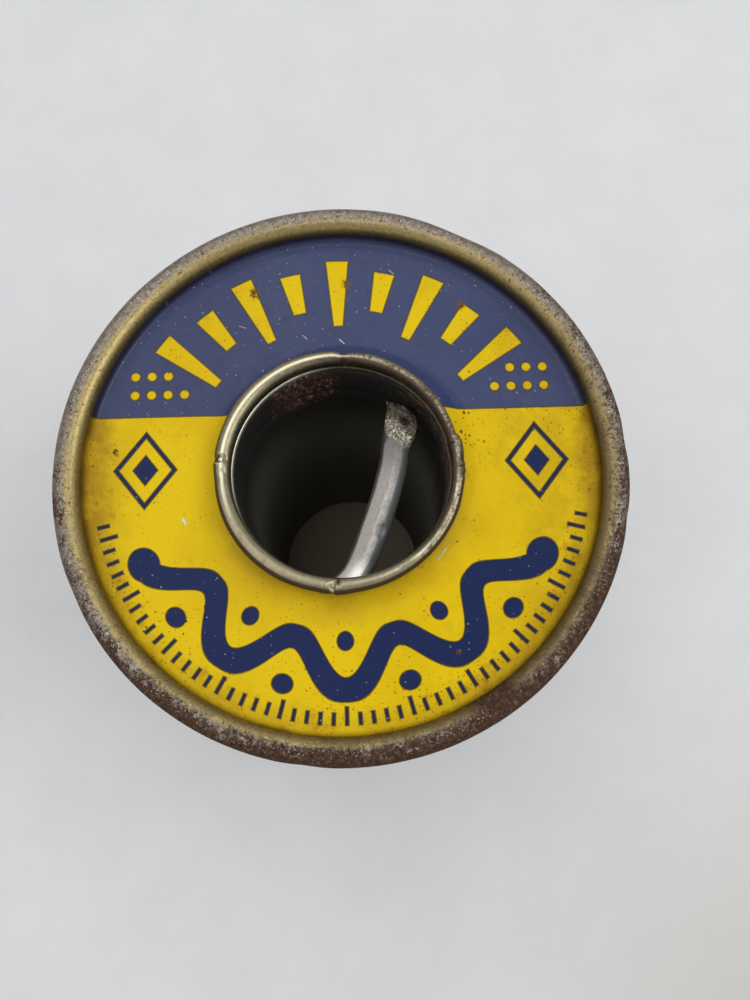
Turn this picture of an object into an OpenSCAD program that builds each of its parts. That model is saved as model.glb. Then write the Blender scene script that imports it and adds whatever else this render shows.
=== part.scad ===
// Solder wire spool: a rolled tinplate barrel, two stamped flanges with rolled
// rims, and one length of cored solder wire wound between them.
// Millimetres, +Z up along the barrel, origin at the centre of the lower rim.

/* [Flanges] */
// Outer diameter of each flange over its rolled rim
flange_d = 50.8; // [48:0.2:56]
// Thickness of the tinplate sheet
sheet = 0.3; // [0.25:0.01:0.35]
// Diameter of the rolled rim's section
rim_roll_d = 2.5; // [2.2:0.1:3]
// Depth of the flat pressed on the rim's crest, on which the spool stands
rim_flat = 0.1; // [0.05:0.01:0.15]
// Straight drop between the rolled rim and the bend into the face
rim_drop = 0.25; // [0.1:0.05:0.6]
// Inside radius of the bend from the rim into the face
face_bend_r = 0.6; // [0.4:0.1:1]
// Height of the raised collar round the barrel
collar_rise = 0.8; // [0.5:0.1:1]
// Width of the collar's sloping foot
collar_slope = 1.2; // [0.8:0.1:1.8]

/* [Barrel] */
// Overall height of the spool, rim crest to rim crest
spool_h = 54; // [48:0.5:62]
// Bore of the barrel, for a three-quarter inch spindle
bore_d = 19.16; // [18.6:0.02:20]
// How much wider the mouths are than the bore
mouth_flare = 0.34; // [0.2:0.02:0.5]
// Diameter of the curl that locks each flange
curl_d = 1.15; // [1:0.05:1.3]
// Width of the lap at the barrel's seam, round the barrel
lap_w = 4; // [3:0.5:6]
// How far the doubled sheet at the lap stands out of the curl
lap_step = 0.12; // [0.05:0.01:0.2]
// Azimuth of the seam's edge
seam_angle = 12; // [0:1:40]
// Radius of the bead that backs each flange from inside
lock_bead_r = 0.4; // [0.35:0.01:0.45]
// Depth of the stop bead under the wire hole
stop_bead_depth = 0.25; // [0.2:0.01:0.3]
// Width of the stop bead's groove in the bore
stop_bead_w = 1.3; // [1.1:0.1:1.6]
// Depth of the stake marks that stop the flange turning
stake_depth = 0.22; // [0.15:0.01:0.28]

/* [Wire] */
// Diameter of the solder wire
wire_d = 2.4; // [2:0.1:2.6]
// Diameter of the flux core inside the wire
flux_d = 0.8; // [0.6:0.1:1]
// Length of the flux core modelled at each cut end
flux_len = 2; // [1:0.2:2.2]
// Outer diameter of the whole winding
winding_d = 44; // [40:0.5:45]
// Least gap between neighbouring turns of the outer layer
turn_gap = 0.42; // [0.41:0.01:0.6]
// Gap between the winding and each flange
winding_end_gap = 0.15; // [0.1:0.05:0.3]
// Clearance of the wire in its hole through the barrel
hole_clearance = 0.2; // [0.1:0.05:0.3]

/* [Hidden] */
$fn = 96;
UP = [0, 0, 1];

// Clearances between pieces, and room round the curl
press_gap = 0.02;
flange_fit = 0.05;
flux_fit = 0.02;
flux_recess = 0.15;
layer_gap = 0.05;
curl_room = 0.3;

// How far a cutter runs past what it cuts, and one half of the barrel into the other
past = 1;

// Rolled rim and face, as depths below the crest of the rim
roll_r = rim_roll_d / 2;
roll_c = flange_d / 2 - roll_r;
roll_y = rim_flat - roll_r;
bend_y = roll_y - rim_drop;
face_y = bend_y - face_bend_r;
bend_x = roll_c - roll_r - face_bend_r;
lip_share = 0.72;
collar_y = face_y + collar_rise;
collar_under = collar_y - sheet;

// Barrel
bore_r = bore_d / 2;
barrel_r = bore_r + sheet;
mouth_r = bore_r + mouth_flare / 2;
mouth_out_r = mouth_r + sheet;
flange_hole_r = mouth_out_r + flange_fit;
collar_in_r = mouth_r + curl_d + lap_step + curl_room;
collar_foot_r = collar_in_r + collar_slope;
curl_r = curl_d / 2;
curl_c = mouth_r + curl_r;
curl_y = collar_y + press_gap + curl_r;
mouth_y = collar_under - press_gap;
flare_y = mouth_y - mouth_flare / 2;
lock_y = flare_y - lock_bead_r;
bead_thinning = 0.02;
lock_groove_r = lock_bead_r - sheet + bead_thinning;
lap_angle = lap_w / barrel_r * 180 / PI;
lap_root = 0.03;
seam_line_w = 0.12;
stake_angles = [1.5, 90, 176, 265.5];
stake_run = 1.2 * curl_d;

// Winding
wire_r = wire_d / 2;
layers_bore_r = barrel_r + max(sheet, stop_bead_depth) + press_gap;
layer_r = winding_d / 2 - wire_r;
RINGS = 24;
SIDES = 6;
END_SIDES = 10;
ROUTE_STEPS = 3;
layers_r = layer_r * cos(180 / RINGS) - wire_r - layer_gap;
winding_z = [sheet - face_y + winding_end_gap, spool_h + face_y - sheet - winding_end_gap];
turn_span = winding_z[1] - winding_z[0] - wire_d;
turns = floor(turn_span / (wire_d * cos(180 / SIDES) + turn_gap));
pitch = turn_span / turns;
layer_angle = 300;

// Wire hole, just under the upper lock bead, and the stop bead under the hole
hole_z = spool_h + lock_y - lock_bead_r - hole_clearance - wire_r;
hole_r = wire_r + hole_clearance;
hole_land = 0.9;
stop_z = hole_z - hole_r - hole_land - stop_bead_w / 2;
stop_arc_r = (pow(stop_bead_w / 2, 2) + pow(stop_bead_depth, 2)) / (2 * stop_bead_depth);
stop_arc_x = bore_r + stop_bead_depth - stop_arc_r;
hole_x = [-1.2, 1.6];
hole_cut_in = 3;
hole_cut_out = 2;

// Route of the wire's start: along the barrel, in through the hole and across the bore
tail_angle = 236;
tail_r = barrel_r + wire_r + layer_gap;
tail_rise = 1.1;
tail_points = [
    [-1.9, -11.15, 0], [0, -10.75, 0], [1, -9.9, 0], [1.65, -8.6, 0], [2.42, -6.5, 0.1],
    [3.31, -4.05, 0.2], [4.12, -1.58, 0.4], [4.8, 0.9, 0.6], [5, 2.6, 0.8], [5.45, 4.2, 1]];
tail_tip = [5.7, 6.4, tail_rise];
pocket_angle = 64;
pocket_room = 0.5;

// Route of the free end: off the last turn and down across the outer layer, in polar steps
// of angle past the last turn, share of the way out, and drop in wire diameters
free_r = layer_r + wire_d + layer_gap;
free_steps = [[24, 0.75, 0.25], [36, 1, 0.6], [48, 1, 1.15], [60, 1, 1.85], [72, 1, 2.6]];
free_tip = 1.2;

function unit(v) = v / norm(v);
function polar(r, a, z) = [r * cos(a), r * sin(a), z];

// Point at share t between b and c on a smooth curve through a, b, c and d
function smooth_point(a, b, c, d, t) =
    ((2 * b) + (c - a) * t + (2 * a - 5 * b + 4 * c - d) * t * t
     + (3 * b - a - 3 * c + d) * t * t * t) / 2;

// Smooth route through points p, n steps a stretch; the first and last stretch stay straight
function route(p, n) = let (m = len(p)) concat(
    [p[0]],
    [for (i = [1 : m - 3]) for (j = [0 : n - 1])
        smooth_point(p[i - 1], p[i], p[i + 1], p[i + 2], j / n)],
    [p[m - 2], p[m - 1]]);

// One section of a tube: a polygon square to direction t, with a corner towards the axis
function ring(p, t, r, sides) =
    let (u = unit(cross(UP, t)), v = cross(t, u))
    [for (k = [0 : sides - 1]) p + r * (cos(360 * k / sides) * u + sin(360 * k / sides) * v)];

function tube_rings(p, r, sides) = let (m = len(p) - 1)
    [for (i = [0 : m]) ring(p[i], unit(p[min(i + 1, m)] - p[max(i - 1, 0)]), r, sides)];

// Closed tube of triangles through a list of sections
module tube(rings) {
    s = len(rings[0]);
    m = len(rings) - 1;
    walls = [for (i = [0 : m - 1]) for (k = [0 : s - 1])
        let (a = i * s + k, b = i * s + (k + 1) % s) each [[a, b + s, b], [a, a + s, b + s]]];
    caps = [for (k = [1 : s - 2]) each [[0, k, k + 1], [m * s, m * s + k + 1, m * s + k]]];
    polyhedron([for (g = rings) each g], concat(walls, caps));
}

// Outer layer: a helix with a straight stretch of one wire diameter at each end
helix = [for (i = [0 : RINGS * turns])
    polar(layer_r, layer_angle + 360 * i / RINGS, winding_z[0] + wire_r + pitch * i / RINGS)];
helix_in = unit(helix[1] - helix[0]);
helix_out = unit(helix[RINGS * turns] - helix[RINGS * turns - 1]);
layer_end = helix[RINGS * turns] + wire_d * helix_out;
layer_path = concat([helix[0] - wire_d * helix_in], helix, [layer_end]);
layer_rings = tube_rings(layer_path, wire_r, SIDES);

// Least distance between the points of one turn and the points of the next
least_gap = min([for (i = [0 : 6 : RINGS * (turns - 1)])
    for (j = [i + RINGS / 2 : min(len(layer_rings) - 1, i + 3 * RINGS / 2)])
    for (a = layer_rings[i]) for (b = layer_rings[j]) norm(a - b)]);
echo(turns = turns, pitch = pitch, least_gap_between_turns = least_gap);

// Tail: straight out of the inner layers, then the chosen points, then straight to the tip
tail_start = polar(tail_r, tail_angle, hole_z);
tail_path = route(concat(
    [tail_start, tail_start + wire_d * polar(1, tail_angle + 90, 0)],
    [for (p = tail_points) p + hole_z * UP],
    [tail_tip + hole_z * UP]), ROUTE_STEPS);

// Free end: carries on from the outer layer
free_on = [for (s = free_steps) polar(layer_r + (free_r - layer_r) * s[1],
    layer_angle + s[0], layer_end[2] - s[2] * wire_d)];
free_last = free_on[len(free_on) - 1];
free_path = route(concat(
    [layer_end + press_gap * helix_out, layer_end + wire_d * helix_out], free_on,
    [free_last + free_tip * wire_d * unit(free_last - free_on[len(free_on) - 2])]), ROUTE_STEPS);

// Turns and moves a shape that points along +Z onto the last stretch of a path, at its end
module at_end(path) {
    m = len(path) - 1;
    d = unit(path[m] - path[m - 1]);
    translate(path[m]) rotate([0, acos(d[2]), atan2(d[1], d[0])]) children();
}

module flux_bore(path) {
    at_end(path) translate([0, 0, -flux_len]) cylinder(d = flux_d, h = flux_len + past);
}

module flux_core(path) {
    at_end(path) translate([0, 0, press_gap - flux_len])
        cylinder(d = flux_d - 2 * flux_fit, h = flux_len - flux_recess - press_gap);
}

module ring_profile(r) {
    difference() {
        circle(r = r);
        circle(r = r - sheet);
    }
}

// Half section of a flange, with the crest of its rim at y = 0
module flange_profile() {
    difference() {
        translate([roll_c, roll_y]) ring_profile(roll_r);
        translate([roll_c - roll_r, 0]) square([rim_roll_d, roll_r]);
        translate([roll_c - roll_r - past, roll_y - roll_r - past])
            square([past + roll_r * (1 - lip_share), roll_r + past]);
    }
    translate([roll_c - roll_r, bend_y]) square([sheet, roll_y - bend_y]);
    intersection() {
        translate([bend_x, bend_y]) ring_profile(face_bend_r + sheet);
        translate([bend_x, bend_y - face_bend_r - sheet]) square(face_bend_r + sheet);
    }
    polygon([[flange_hole_r, collar_under], [collar_in_r, collar_under],
             [collar_foot_r, face_y - sheet], [bend_x, face_y - sheet], [bend_x, face_y],
             [collar_foot_r, face_y], [collar_in_r, collar_y], [flange_hole_r, collar_y]]);
}

module flange() {
    rotate_extrude() flange_profile();
}

// Half section of one end of the barrel, down to past its middle, with the crest of the rim
// at y = 0
module barrel_end_profile() {
    wall_y = -spool_h / 2 - past;
    difference() {
        translate([curl_c, curl_y]) ring_profile(curl_r);
        translate([mouth_r - past, curl_y - curl_r - past]) square([past + curl_r, curl_r + past]);
    }
    difference() {
        union() {
            polygon([[bore_r, wall_y], [barrel_r, wall_y], [barrel_r, flare_y],
                     [mouth_out_r, mouth_y], [mouth_out_r, curl_y], [mouth_r, curl_y],
                     [mouth_r, mouth_y], [bore_r, flare_y]]);
            translate([barrel_r, lock_y]) intersection() {
                circle(r = lock_bead_r);
                translate([-sheet / 2, -lock_bead_r]) square(2 * lock_bead_r);
            }
        }
        translate([bore_r, lock_y]) circle(r = lock_groove_r);
    }
}

// Shallow bead in the barrel's sheet: two arcs round one centre, a sheet's thickness apart
module stop_bead_out() {
    translate([stop_arc_x, stop_z]) intersection() {
        circle(r = stop_arc_r + sheet);
        translate([bore_r - stop_arc_x, -stop_bead_w])
            square([stop_bead_depth + 2 * sheet, 2 * stop_bead_w]);
    }
}

module stop_bead_in() {
    translate([stop_arc_x, stop_z]) circle(r = stop_arc_r);
}

module barrel_profile() {
    difference() {
        union() {
            translate([0, spool_h]) barrel_end_profile();
            mirror([0, 1]) barrel_end_profile();
            stop_bead_out();
        }
        stop_bead_in();
    }
}

// The doubled sheet at the seam: a strip along the barrel and one round the foot of each curl
module lap() {
    end_z = sheet - face_y;
    rotate([0, 0, seam_angle - lap_angle]) rotate_extrude(angle = lap_angle) {
        translate([barrel_r - lap_root, end_z])
            square([sheet + lap_root, spool_h - 2 * end_z]);
        for (side = [0, 1])
            translate([0, side * spool_h]) mirror([0, 1 - side])
                translate([curl_c + curl_r - sheet / 2, collar_y + press_gap])
                    square([lap_step + sheet / 2, curl_r]);
    }
}

// V-shaped marks across the curl at each end
module stake_marks() {
    crest_y = curl_y + curl_r;
    for (a = stake_angles, z = [spool_h + crest_y, -crest_y])
        rotate([0, 0, a]) translate([curl_c, 0, z]) rotate([45, 0, 0])
            cube([stake_run, stake_depth * sqrt(2), stake_depth * sqrt(2)], center = true);
}

// Slot for the wire, punched through the barrel under the upper flange
module wire_hole() {
    wall = -barrel_r;
    for (x = hole_x)
        translate([x, wall + hole_cut_in, hole_z]) rotate([90, 0, 0])
            cylinder(r = hole_r, h = hole_cut_in + hole_cut_out);
    translate([hole_x[0], wall - hole_cut_out, hole_z - hole_r])
        cube([hole_x[1] - hole_x[0], hole_cut_in + hole_cut_out, 2 * hole_r]);
}

// Fine line of the sheet's edge down the bore, as deep as it is wide
module seam_line() {
    rotate([0, 0, seam_angle]) translate([bore_r - past, -seam_line_w / 2, -past])
        cube([past + seam_line_w, seam_line_w, spool_h + 2 * past]);
}

module core_tube() {
    color("darkkhaki") difference() {
        union() {
            rotate_extrude() barrel_profile();
            lap();
        }
        stake_marks();
        wire_hole();
        seam_line();
    }
}

module top_flange() {
    color("gold") translate([0, 0, spool_h]) flange();
}

module bottom_flange() {
    color("goldenrod") mirror([0, 0, 1]) flange();
}

module wire_start_tail() {
    color("lightslategray") difference() {
        tube(tube_rings(tail_path, wire_r, END_SIDES));
        flux_bore(tail_path);
    }
}

module flux_core_start() {
    color("saddlebrown") flux_core(tail_path);
}

// Inner layers as one plain core, with room left for the start of the wire
module wire_inner_layers() {
    pocket_r = tail_r + wire_r + pocket_room;
    pocket_z = hole_z - wire_r - layer_gap;
    color("slategray") difference() {
        translate([0, 0, winding_z[0]])
            cylinder(r = layers_r, h = winding_z[1] - winding_z[0]);
        translate([0, 0, winding_z[0] - past])
            cylinder(r = layers_bore_r, h = winding_z[1] - winding_z[0] + 2 * past);
        rotate([0, 0, tail_angle]) rotate_extrude(angle = pocket_angle)
            translate([layers_bore_r - past, pocket_z])
                square([pocket_r - layers_bore_r + past, winding_z[1] - pocket_z + past]);
    }
}

module wire_outer_layer() {
    color("silver") tube(layer_rings);
}

module wire_free_end() {
    color("lightgray") difference() {
        tube(tube_rings(free_path, wire_r, END_SIDES));
        flux_bore(free_path);
    }
}

module flux_core_end() {
    color("saddlebrown") flux_core(free_path);
}

core_tube();
top_flange();
bottom_flange();
wire_start_tail();
flux_core_start();
wire_inner_layers();
wire_outer_layer();
wire_free_end();
flux_core_end();
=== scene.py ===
# %% [markdown]
# # A spool of solder wire
# This lesson dresses a spool of solder in Blender. The real one is three pieces of tinplate and
# one length of wire: a barrel rolled from sheet, two stamped flanges, and soft solder wound
# between them, with its start poked through a hole into the bore. The sizes are the CAD model's.
# Here each piece becomes a surface worked out with numpy, and each finish a net of shader nodes.

import math

import bmesh
import bpy
import numpy as np
from mathutils import Matrix, Vector


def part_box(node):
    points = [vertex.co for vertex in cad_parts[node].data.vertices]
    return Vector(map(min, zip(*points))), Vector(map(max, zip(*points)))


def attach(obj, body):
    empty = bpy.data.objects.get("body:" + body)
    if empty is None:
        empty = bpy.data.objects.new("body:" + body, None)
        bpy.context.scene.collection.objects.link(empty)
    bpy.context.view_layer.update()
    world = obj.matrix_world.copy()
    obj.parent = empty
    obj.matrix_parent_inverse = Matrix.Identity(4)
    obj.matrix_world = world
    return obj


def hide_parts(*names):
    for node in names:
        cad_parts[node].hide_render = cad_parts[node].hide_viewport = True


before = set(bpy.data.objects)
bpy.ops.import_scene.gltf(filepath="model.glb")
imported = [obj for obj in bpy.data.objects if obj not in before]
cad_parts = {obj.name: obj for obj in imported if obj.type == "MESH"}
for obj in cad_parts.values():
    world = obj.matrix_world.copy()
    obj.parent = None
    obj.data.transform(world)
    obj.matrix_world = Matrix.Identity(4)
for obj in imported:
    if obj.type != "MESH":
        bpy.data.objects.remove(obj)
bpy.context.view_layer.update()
print("frame:", sorted(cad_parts))

# %% [markdown]
# ## Camera
# The camera stands close above the spool and leans a little towards the back, so the upper flange
# fills the picture and hides the winding. Its place is given in millimetres over the table. The
# picture is 1000 pixels tall, and Blender's 36 mm sensor lies along that side, so a lens of
# 29 mm gives the close perspective. A small shift puts the spool a little under the middle.

# %% Camera
MM = 0.001
CAMERA_PLACE = (1.81, -19.74, 121.15)
CAMERA_TURN = -1.65
CAMERA_TILT = 12.12
CAMERA_LENS = 28.93
CAMERA_SHIFT = (0.0068, 0.0245)

camera_data = bpy.data.cameras.new("camera")
camera_data.lens = CAMERA_LENS
camera_data.sensor_width = 36
camera_data.shift_x, camera_data.shift_y = CAMERA_SHIFT
camera_data.clip_start = MM
camera = bpy.data.objects.new("camera", camera_data)
bpy.context.scene.collection.objects.link(camera)
camera.matrix_world = (
    Matrix.Translation(Vector(CAMERA_PLACE) * MM)
    @ Matrix.Rotation(math.radians(CAMERA_TURN), 4, "Z")
    @ Matrix.Rotation(math.radians(CAMERA_TILT), 4, "X")
)
bpy.context.scene.camera = camera
bpy.context.scene.view_settings.view_transform = "Standard"
print("camera at", CAMERA_PLACE, "mm")

# %% [markdown]
# ## Shader maths as sums
# A finish is a net of nodes, and a net is hard to read back. So one small class wraps a node's
# output and overloads the operators: `1 - mask * 0.5` adds a Multiply and a Subtract node. Every
# other node comes from one method, `add`, which takes the node's type, its settings and what its
# sockets hold. Colours are written as red, green and blue from 0 to 255.


# %% Signals
def math_node(operation):
    """A method that adds a Math node on the signal and on whatever else it is given."""
    return lambda signal, *others: signal.math(operation, *others)


class Signal:
    """One output of a shader node. Sums of signals and numbers add Math nodes."""

    def __init__(self, net, socket):
        self.net = net
        self.socket = socket

    def math(self, operation, *others):
        return self.net.add("Math", {"operation": operation}, dict(enumerate((self, *others))))

    def __rsub__(self, other):
        return self.net.add("Math", {"operation": "SUBTRACT"}, {0: other, 1: self})

    __add__ = __radd__ = math_node("ADD")
    __sub__ = math_node("SUBTRACT")
    __mul__ = __rmul__ = math_node("MULTIPLY")
    __truediv__ = math_node("DIVIDE")
    __pow__ = math_node("POWER")
    most = math_node("MAXIMUM")
    least = math_node("MINIMUM")
    size = math_node("ABSOLUTE")

    def fade(self, start, end):
        """0 on the start's side and 1 on the end's, with a smooth step between them."""
        limits = {"Value": self, "From Min": start, "From Max": end}
        return self.net.add("MapRange", {"interpolation_type": "SMOOTHSTEP"}, limits)

    def cell(self):
        """The whole number below, and the distance from the middle of that cell."""
        number = self.math("FLOOR")
        return number, self - number - 0.5


def length(*parts):
    """The square root of the sum of the parts' squares."""
    squares = [part * part for part in parts]
    return sum(squares[1:], squares[0]) ** 0.5


# %% Nets and finishes
def tone(red, green, blue):
    """A colour from 0 to 255, as the linear values that shaders use."""
    shares = [value / 255 for value in (red, green, blue)]
    return (*[s / 12.92 if s <= 0.04045 else ((s + 0.055) / 1.055) ** 2.4 for s in shares], 1)


class Net:
    """The shader nodes of a material or of the world."""

    def __init__(self, owner):
        owner.use_nodes = True
        self.tree = owner.node_tree
        self.tree.nodes.clear()

    def add(self, kind, settings=None, sockets=None, out=0):
        node = self.tree.nodes.new("ShaderNode" + kind)
        for key, value in (settings or {}).items():
            if key == "stops":
                ramp = node.color_ramp.elements
                while len(ramp) < len(value):
                    ramp.new(1)
                for element, (position, colour) in zip(ramp, value):
                    element.position = position
                    element.color = tone(*colour)
            else:
                setattr(node, key, value)
        for key, value in (sockets or {}).items():
            if isinstance(value, Signal):
                self.tree.links.new(value.socket, node.inputs[key])
            else:
                node.inputs[key].default_value = value
        return Signal(self, node.outputs[out]) if node.outputs else None


class Finish(Net):
    """A material that is being written, with object coordinates in millimetres."""

    def __init__(self, name):
        self.material = bpy.data.materials.new(name)
        super().__init__(self.material)
        inside = self.add("TexCoord", out="Object")
        self.place = self.add("VectorMath", {"operation": "SCALE"}, {0: inside, "Scale": 1 / MM})

    def axis(self, letter, vector=None):
        """The X, Y or Z of a point of the surface, in millimetres, or of another vector."""
        return self.add("SeparateXYZ", {}, {0: vector or self.place}, out=letter)

    def attribute(self, name, out="Fac"):
        return self.add("Attribute", {"attribute_name": name}, out=out)

    def vector(self, operation, first, second):
        return self.add("VectorMath", {"operation": operation}, {0: first, 1: second})

    def noise(self, grain, detail=3, roughness=0.6, at=None, offset=0.0):
        """Cloudy values about 0.5, with lumps about as wide as grain millimetres."""
        where = {"Vector": at or self.place, "W": offset}
        look = {"Scale": 1 / grain, "Detail": detail, "Roughness": roughness}
        return self.add("TexNoise", {"noise_dimensions": "4D"}, where | look)

    def spots(self, grain, widest, shift=0.0):
        """Round specks seen from above, one in each square of grain millimetres, of all sizes."""
        flat = {"voronoi_dimensions": "2D"}
        moved = self.vector("ADD", self.place, (shift, shift, 0))
        sockets = {"Vector": moved, "Scale": 1 / grain}
        near = self.add("TexVoronoi", flat, sockets) * grain
        colour = self.add("TexVoronoi", flat, sockets, out="Color")
        chance = self.add("SeparateColor", {}, {0: colour})
        edge = near + (self.noise(0.12, 2) - 0.5) * 0.12
        return (edge - chance**3 * widest).fade(0.02, -0.02)

    def mix(self, first, second, share):
        """The second colour over the first, as far as share goes."""
        first, second = (tone(*c) if isinstance(c, tuple) else c for c in (first, second))
        sockets = {0: share, 6: first, 7: second}
        return self.add("Mix", {"data_type": "RGBA"}, sockets, out=2)

    def layers(self, colour, *coats):
        """A colour under further coats, each a colour and the share of it that covers."""
        for coat, share in coats:
            colour = self.mix(colour, coat, share)
        return colour

    def bump(self, height, depth):
        """A bump as deep as depth millimetres where height is 1."""
        return self.add("Bump", {}, {"Height": height, "Distance": depth * MM})

    def surface(self, **sockets):
        """The Principled shader with these sockets, joined to the output."""
        named = {key.replace("_", " "): value for key, value in sockets.items()}
        shader = self.add("BsdfPrincipled", {}, named)
        self.add("OutputMaterial", {}, {"Surface": shader})
        return self.material


print("a middle grey of 128 is", round(tone(128, 128, 128)[0], 3), "to a shader")

# %% [markdown]
# ## From a grid to a piece
# Every shape here is a grid of points: rings of points, one ring after another. So one function
# gives the faces between neighbours, one makes the mesh, and one hands a finished piece to the
# frame. Values that a finish needs at each point, such as which side of the sheet it is on, go
# into the mesh as attributes.


# %% Grids and pieces
def around(count):
    """Angles of count even steps round a circle."""
    return np.linspace(0, 2 * np.pi, count, endpoint=False)


def ring_points(angle, r, z):
    """The point (r cos angle, r sin angle, z) for each place on a grid."""
    return np.stack([r * np.cos(angle), r * np.sin(angle), z + 0 * angle], axis=-1)


def grid_faces(points, closed=False):
    """Four-cornered faces between neighbouring rings; closed joins the last ring to the first."""
    rows, columns = points.shape[:2]
    row = np.arange(rows if closed else rows - 1)[:, None]
    column = np.arange(columns)[None, :]
    next_row, next_column = (row + 1) % rows, (column + 1) % columns
    corners = [(row, column), (row, next_column), (next_row, next_column), (next_row, column)]
    return np.stack([r * columns + c for r, c in corners], axis=-1).reshape(-1, 4)


def new_object(name, points, faces, material, notes=None):
    """A smooth mesh from points in metres; points that coincide are merged, which closes poles.

    notes holds one value or one vector a point under each name, for materials to read."""
    mesh = bpy.data.meshes.new(name)
    mesh.from_pydata(points.reshape(-1, 3).tolist(), [], faces.tolist())
    for key, values in (notes or {}).items():
        wide = values.ndim > 2
        layer = mesh.attributes.new(key, "FLOAT_VECTOR" if wide else "FLOAT", "POINT")
        layer.data.foreach_set("vector" if wide else "value", values.astype(np.float32).ravel())
    shell = bmesh.new()
    shell.from_mesh(mesh)
    bmesh.ops.remove_doubles(shell, verts=shell.verts, dist=1e-8)
    bmesh.ops.recalc_face_normals(shell, faces=shell.faces)
    shell.to_mesh(mesh)
    shell.free()
    mesh.shade_smooth()
    mesh.materials.append(material)
    made = bpy.data.objects.new(name, mesh)
    bpy.context.scene.collection.objects.link(made)
    return made


def new_piece(name, node, slot, points, notes=None, faces=None):
    """A piece from points in millimetres. It rides with the root, stands in for one node of the
    CAD model and has the finish of its slot."""
    faces = grid_faces(points) if faces is None else faces
    made = new_object(name, points * MM, faces, finishes[slot], notes)
    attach(made, "root")
    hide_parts(node)
    print(name, "has", len(made.data.polygons), "faces")


finishes = {}
print("a quarter turn:", around(4)[1].round(3))

# %% [markdown]
# ## Table, background and light
# The spool stands on a plain pale table, which turns into the background's colour far out, so
# that no horizon shows. A big soft lamp on the right gives the rim its inner shadow and its bright
# line, and one behind lays a faint sheen on the upper half of the print. The rest comes from an
# even sky, so that a colour renders about as it is written. The camera, mirrored rays and rays
# that pass through something see the background's colour in place of the sky's light.

# %% Table
TABLE_R = 2.0
TABLE_GRID = (40, 96)
TABLE_DROP = 0.00002
BACKGROUND = tone(216, 217, 219)

pale = Finish("pale_table")
table_x, table_y = map(pale.axis, "XY")
table_r = length(table_x, table_y)
# Painted shade: the table darkens towards the lower right, where the light falls off; its grain
# grows there too.
lower_right_falloff = table_x.fade(5, 60) * table_y.fade(0, -90) * table_r.fade(260, 120)
paint = pale.layers(
    (218, 219, 221),
    ((223, 224, 225), pale.noise(14, 4, 0.7).fade(0.3, 0.7)),
    ((198, 196, 190), lower_right_falloff),
    # Painted shade and warm bounced light on the table under the spool, seen through the bore.
    ((196, 184, 160), table_r.fade(13, 9)),
)
relief = pale.bump(pale.noise(2.5, 3) * (0.3 + lower_right_falloff), 0.04)
near = {"Base Color": paint, "Roughness": 0.55, "Normal": relief, "Specular IOR Level": 0.2}
near_table = pale.add("BsdfPrincipled", {}, near)
far_table = pale.add("Emission", {}, {"Color": BACKGROUND, "Strength": 1.0})
both = pale.add("MixShader", {}, {0: table_r.fade(100, 320), 1: near_table, 2: far_table})
pale.add("OutputMaterial", {}, {"Surface": both})
table_ring = TABLE_R * np.linspace(0, 1, TABLE_GRID[0])[:, None] ** 2
table_points = ring_points(around(TABLE_GRID[1]), table_ring, 0 * table_ring - TABLE_DROP)
table = new_object("table", table_points, grid_faces(table_points), pale.material)
print("table:", TABLE_R, "m")

# %% Sky and lamps
SKY_LEVEL = 0.50
# Each lamp: azimuth and elevation in degrees, distance and size in metres, and watts.
LAMPS = {
    "right_lamp": (-2, 50, 0.5, 0.30, 0.78),
    "top_lamp": (172, 76, 0.6, 0.30, 0.30),
    "back_lamp": (98, 60, 0.6, 0.42, 0.72),
    "left_lamp": (195, 50, 0.6, 0.38, 0.40),
}
LAMP_TARGET = Vector((0, 0, 0.05))

world = bpy.data.worlds.new("studio")
bpy.context.scene.world = world
sky = Net(world)
seen, mirrored, through = (
    sky.add("LightPath", out=f"Is {ray} Ray") for ray in ("Camera", "Glossy", "Transmission")
)
light = sky.add("Background", {}, {"Color": (1, 1, 1, 1), "Strength": SKY_LEVEL})
backdrop = sky.add("Background", {}, {"Color": BACKGROUND})
shown = (seen + (mirrored + through)).least(1)
either = sky.add("MixShader", {}, {0: shown, 1: light, 2: backdrop})
sky.add("OutputWorld", {}, {"Surface": either})

for name, (azimuth, elevation, distance, size, watts) in LAMPS.items():
    a, e = math.radians(azimuth), math.radians(elevation)
    away = Vector((math.cos(a) * math.cos(e), math.sin(a) * math.cos(e), math.sin(e)))
    lamp_data = bpy.data.lights.new(name, "AREA")
    lamp_data.size = size
    lamp_data.energy = watts
    lamp = bpy.data.objects.new(name, lamp_data)
    lamp.matrix_world = away.to_track_quat("Z", "Y").to_matrix().to_4x4()
    lamp.location = away * distance + LAMP_TARGET
    bpy.context.scene.collection.objects.link(lamp)
    print(f"{name}: {watts} W at {distance} m")

# %% [markdown]
# ## Sheet metal from a line
# Tinplate parts are all sheet, so each is drawn as the middle line of its section. Blender could
# thicken a surface with Solidify, but here the section is offset by half the sheet's thickness to
# each side and closed with round edges. That keeps every corner's radius true and gives each
# point its side of the sheet, which the print needs.

# %% Lines and arcs
SHEET = 0.3


def arc(centre, radius, start, end, count):
    """Points centre + radius (cos a, sin a), with a running from start to end in degrees."""
    a = np.radians(np.linspace(start, end, count))
    return np.stack([centre[0] + radius * np.cos(a), centre[1] + radius * np.sin(a)], axis=-1)


def straight(start, end, count):
    """Evenly spaced points from start to end."""
    t = np.linspace(0, 1, count)[:, None]
    return (1 - t) * np.array(start) + t * np.array(end)


def unit(vectors):
    return vectors / np.linalg.norm(vectors, axis=-1, keepdims=True)


def run_along(line):
    """Each point's distance from the first, along the line."""
    return np.concatenate([[0], np.cumsum(np.linalg.norm(np.diff(line, axis=0), axis=1))])


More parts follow.
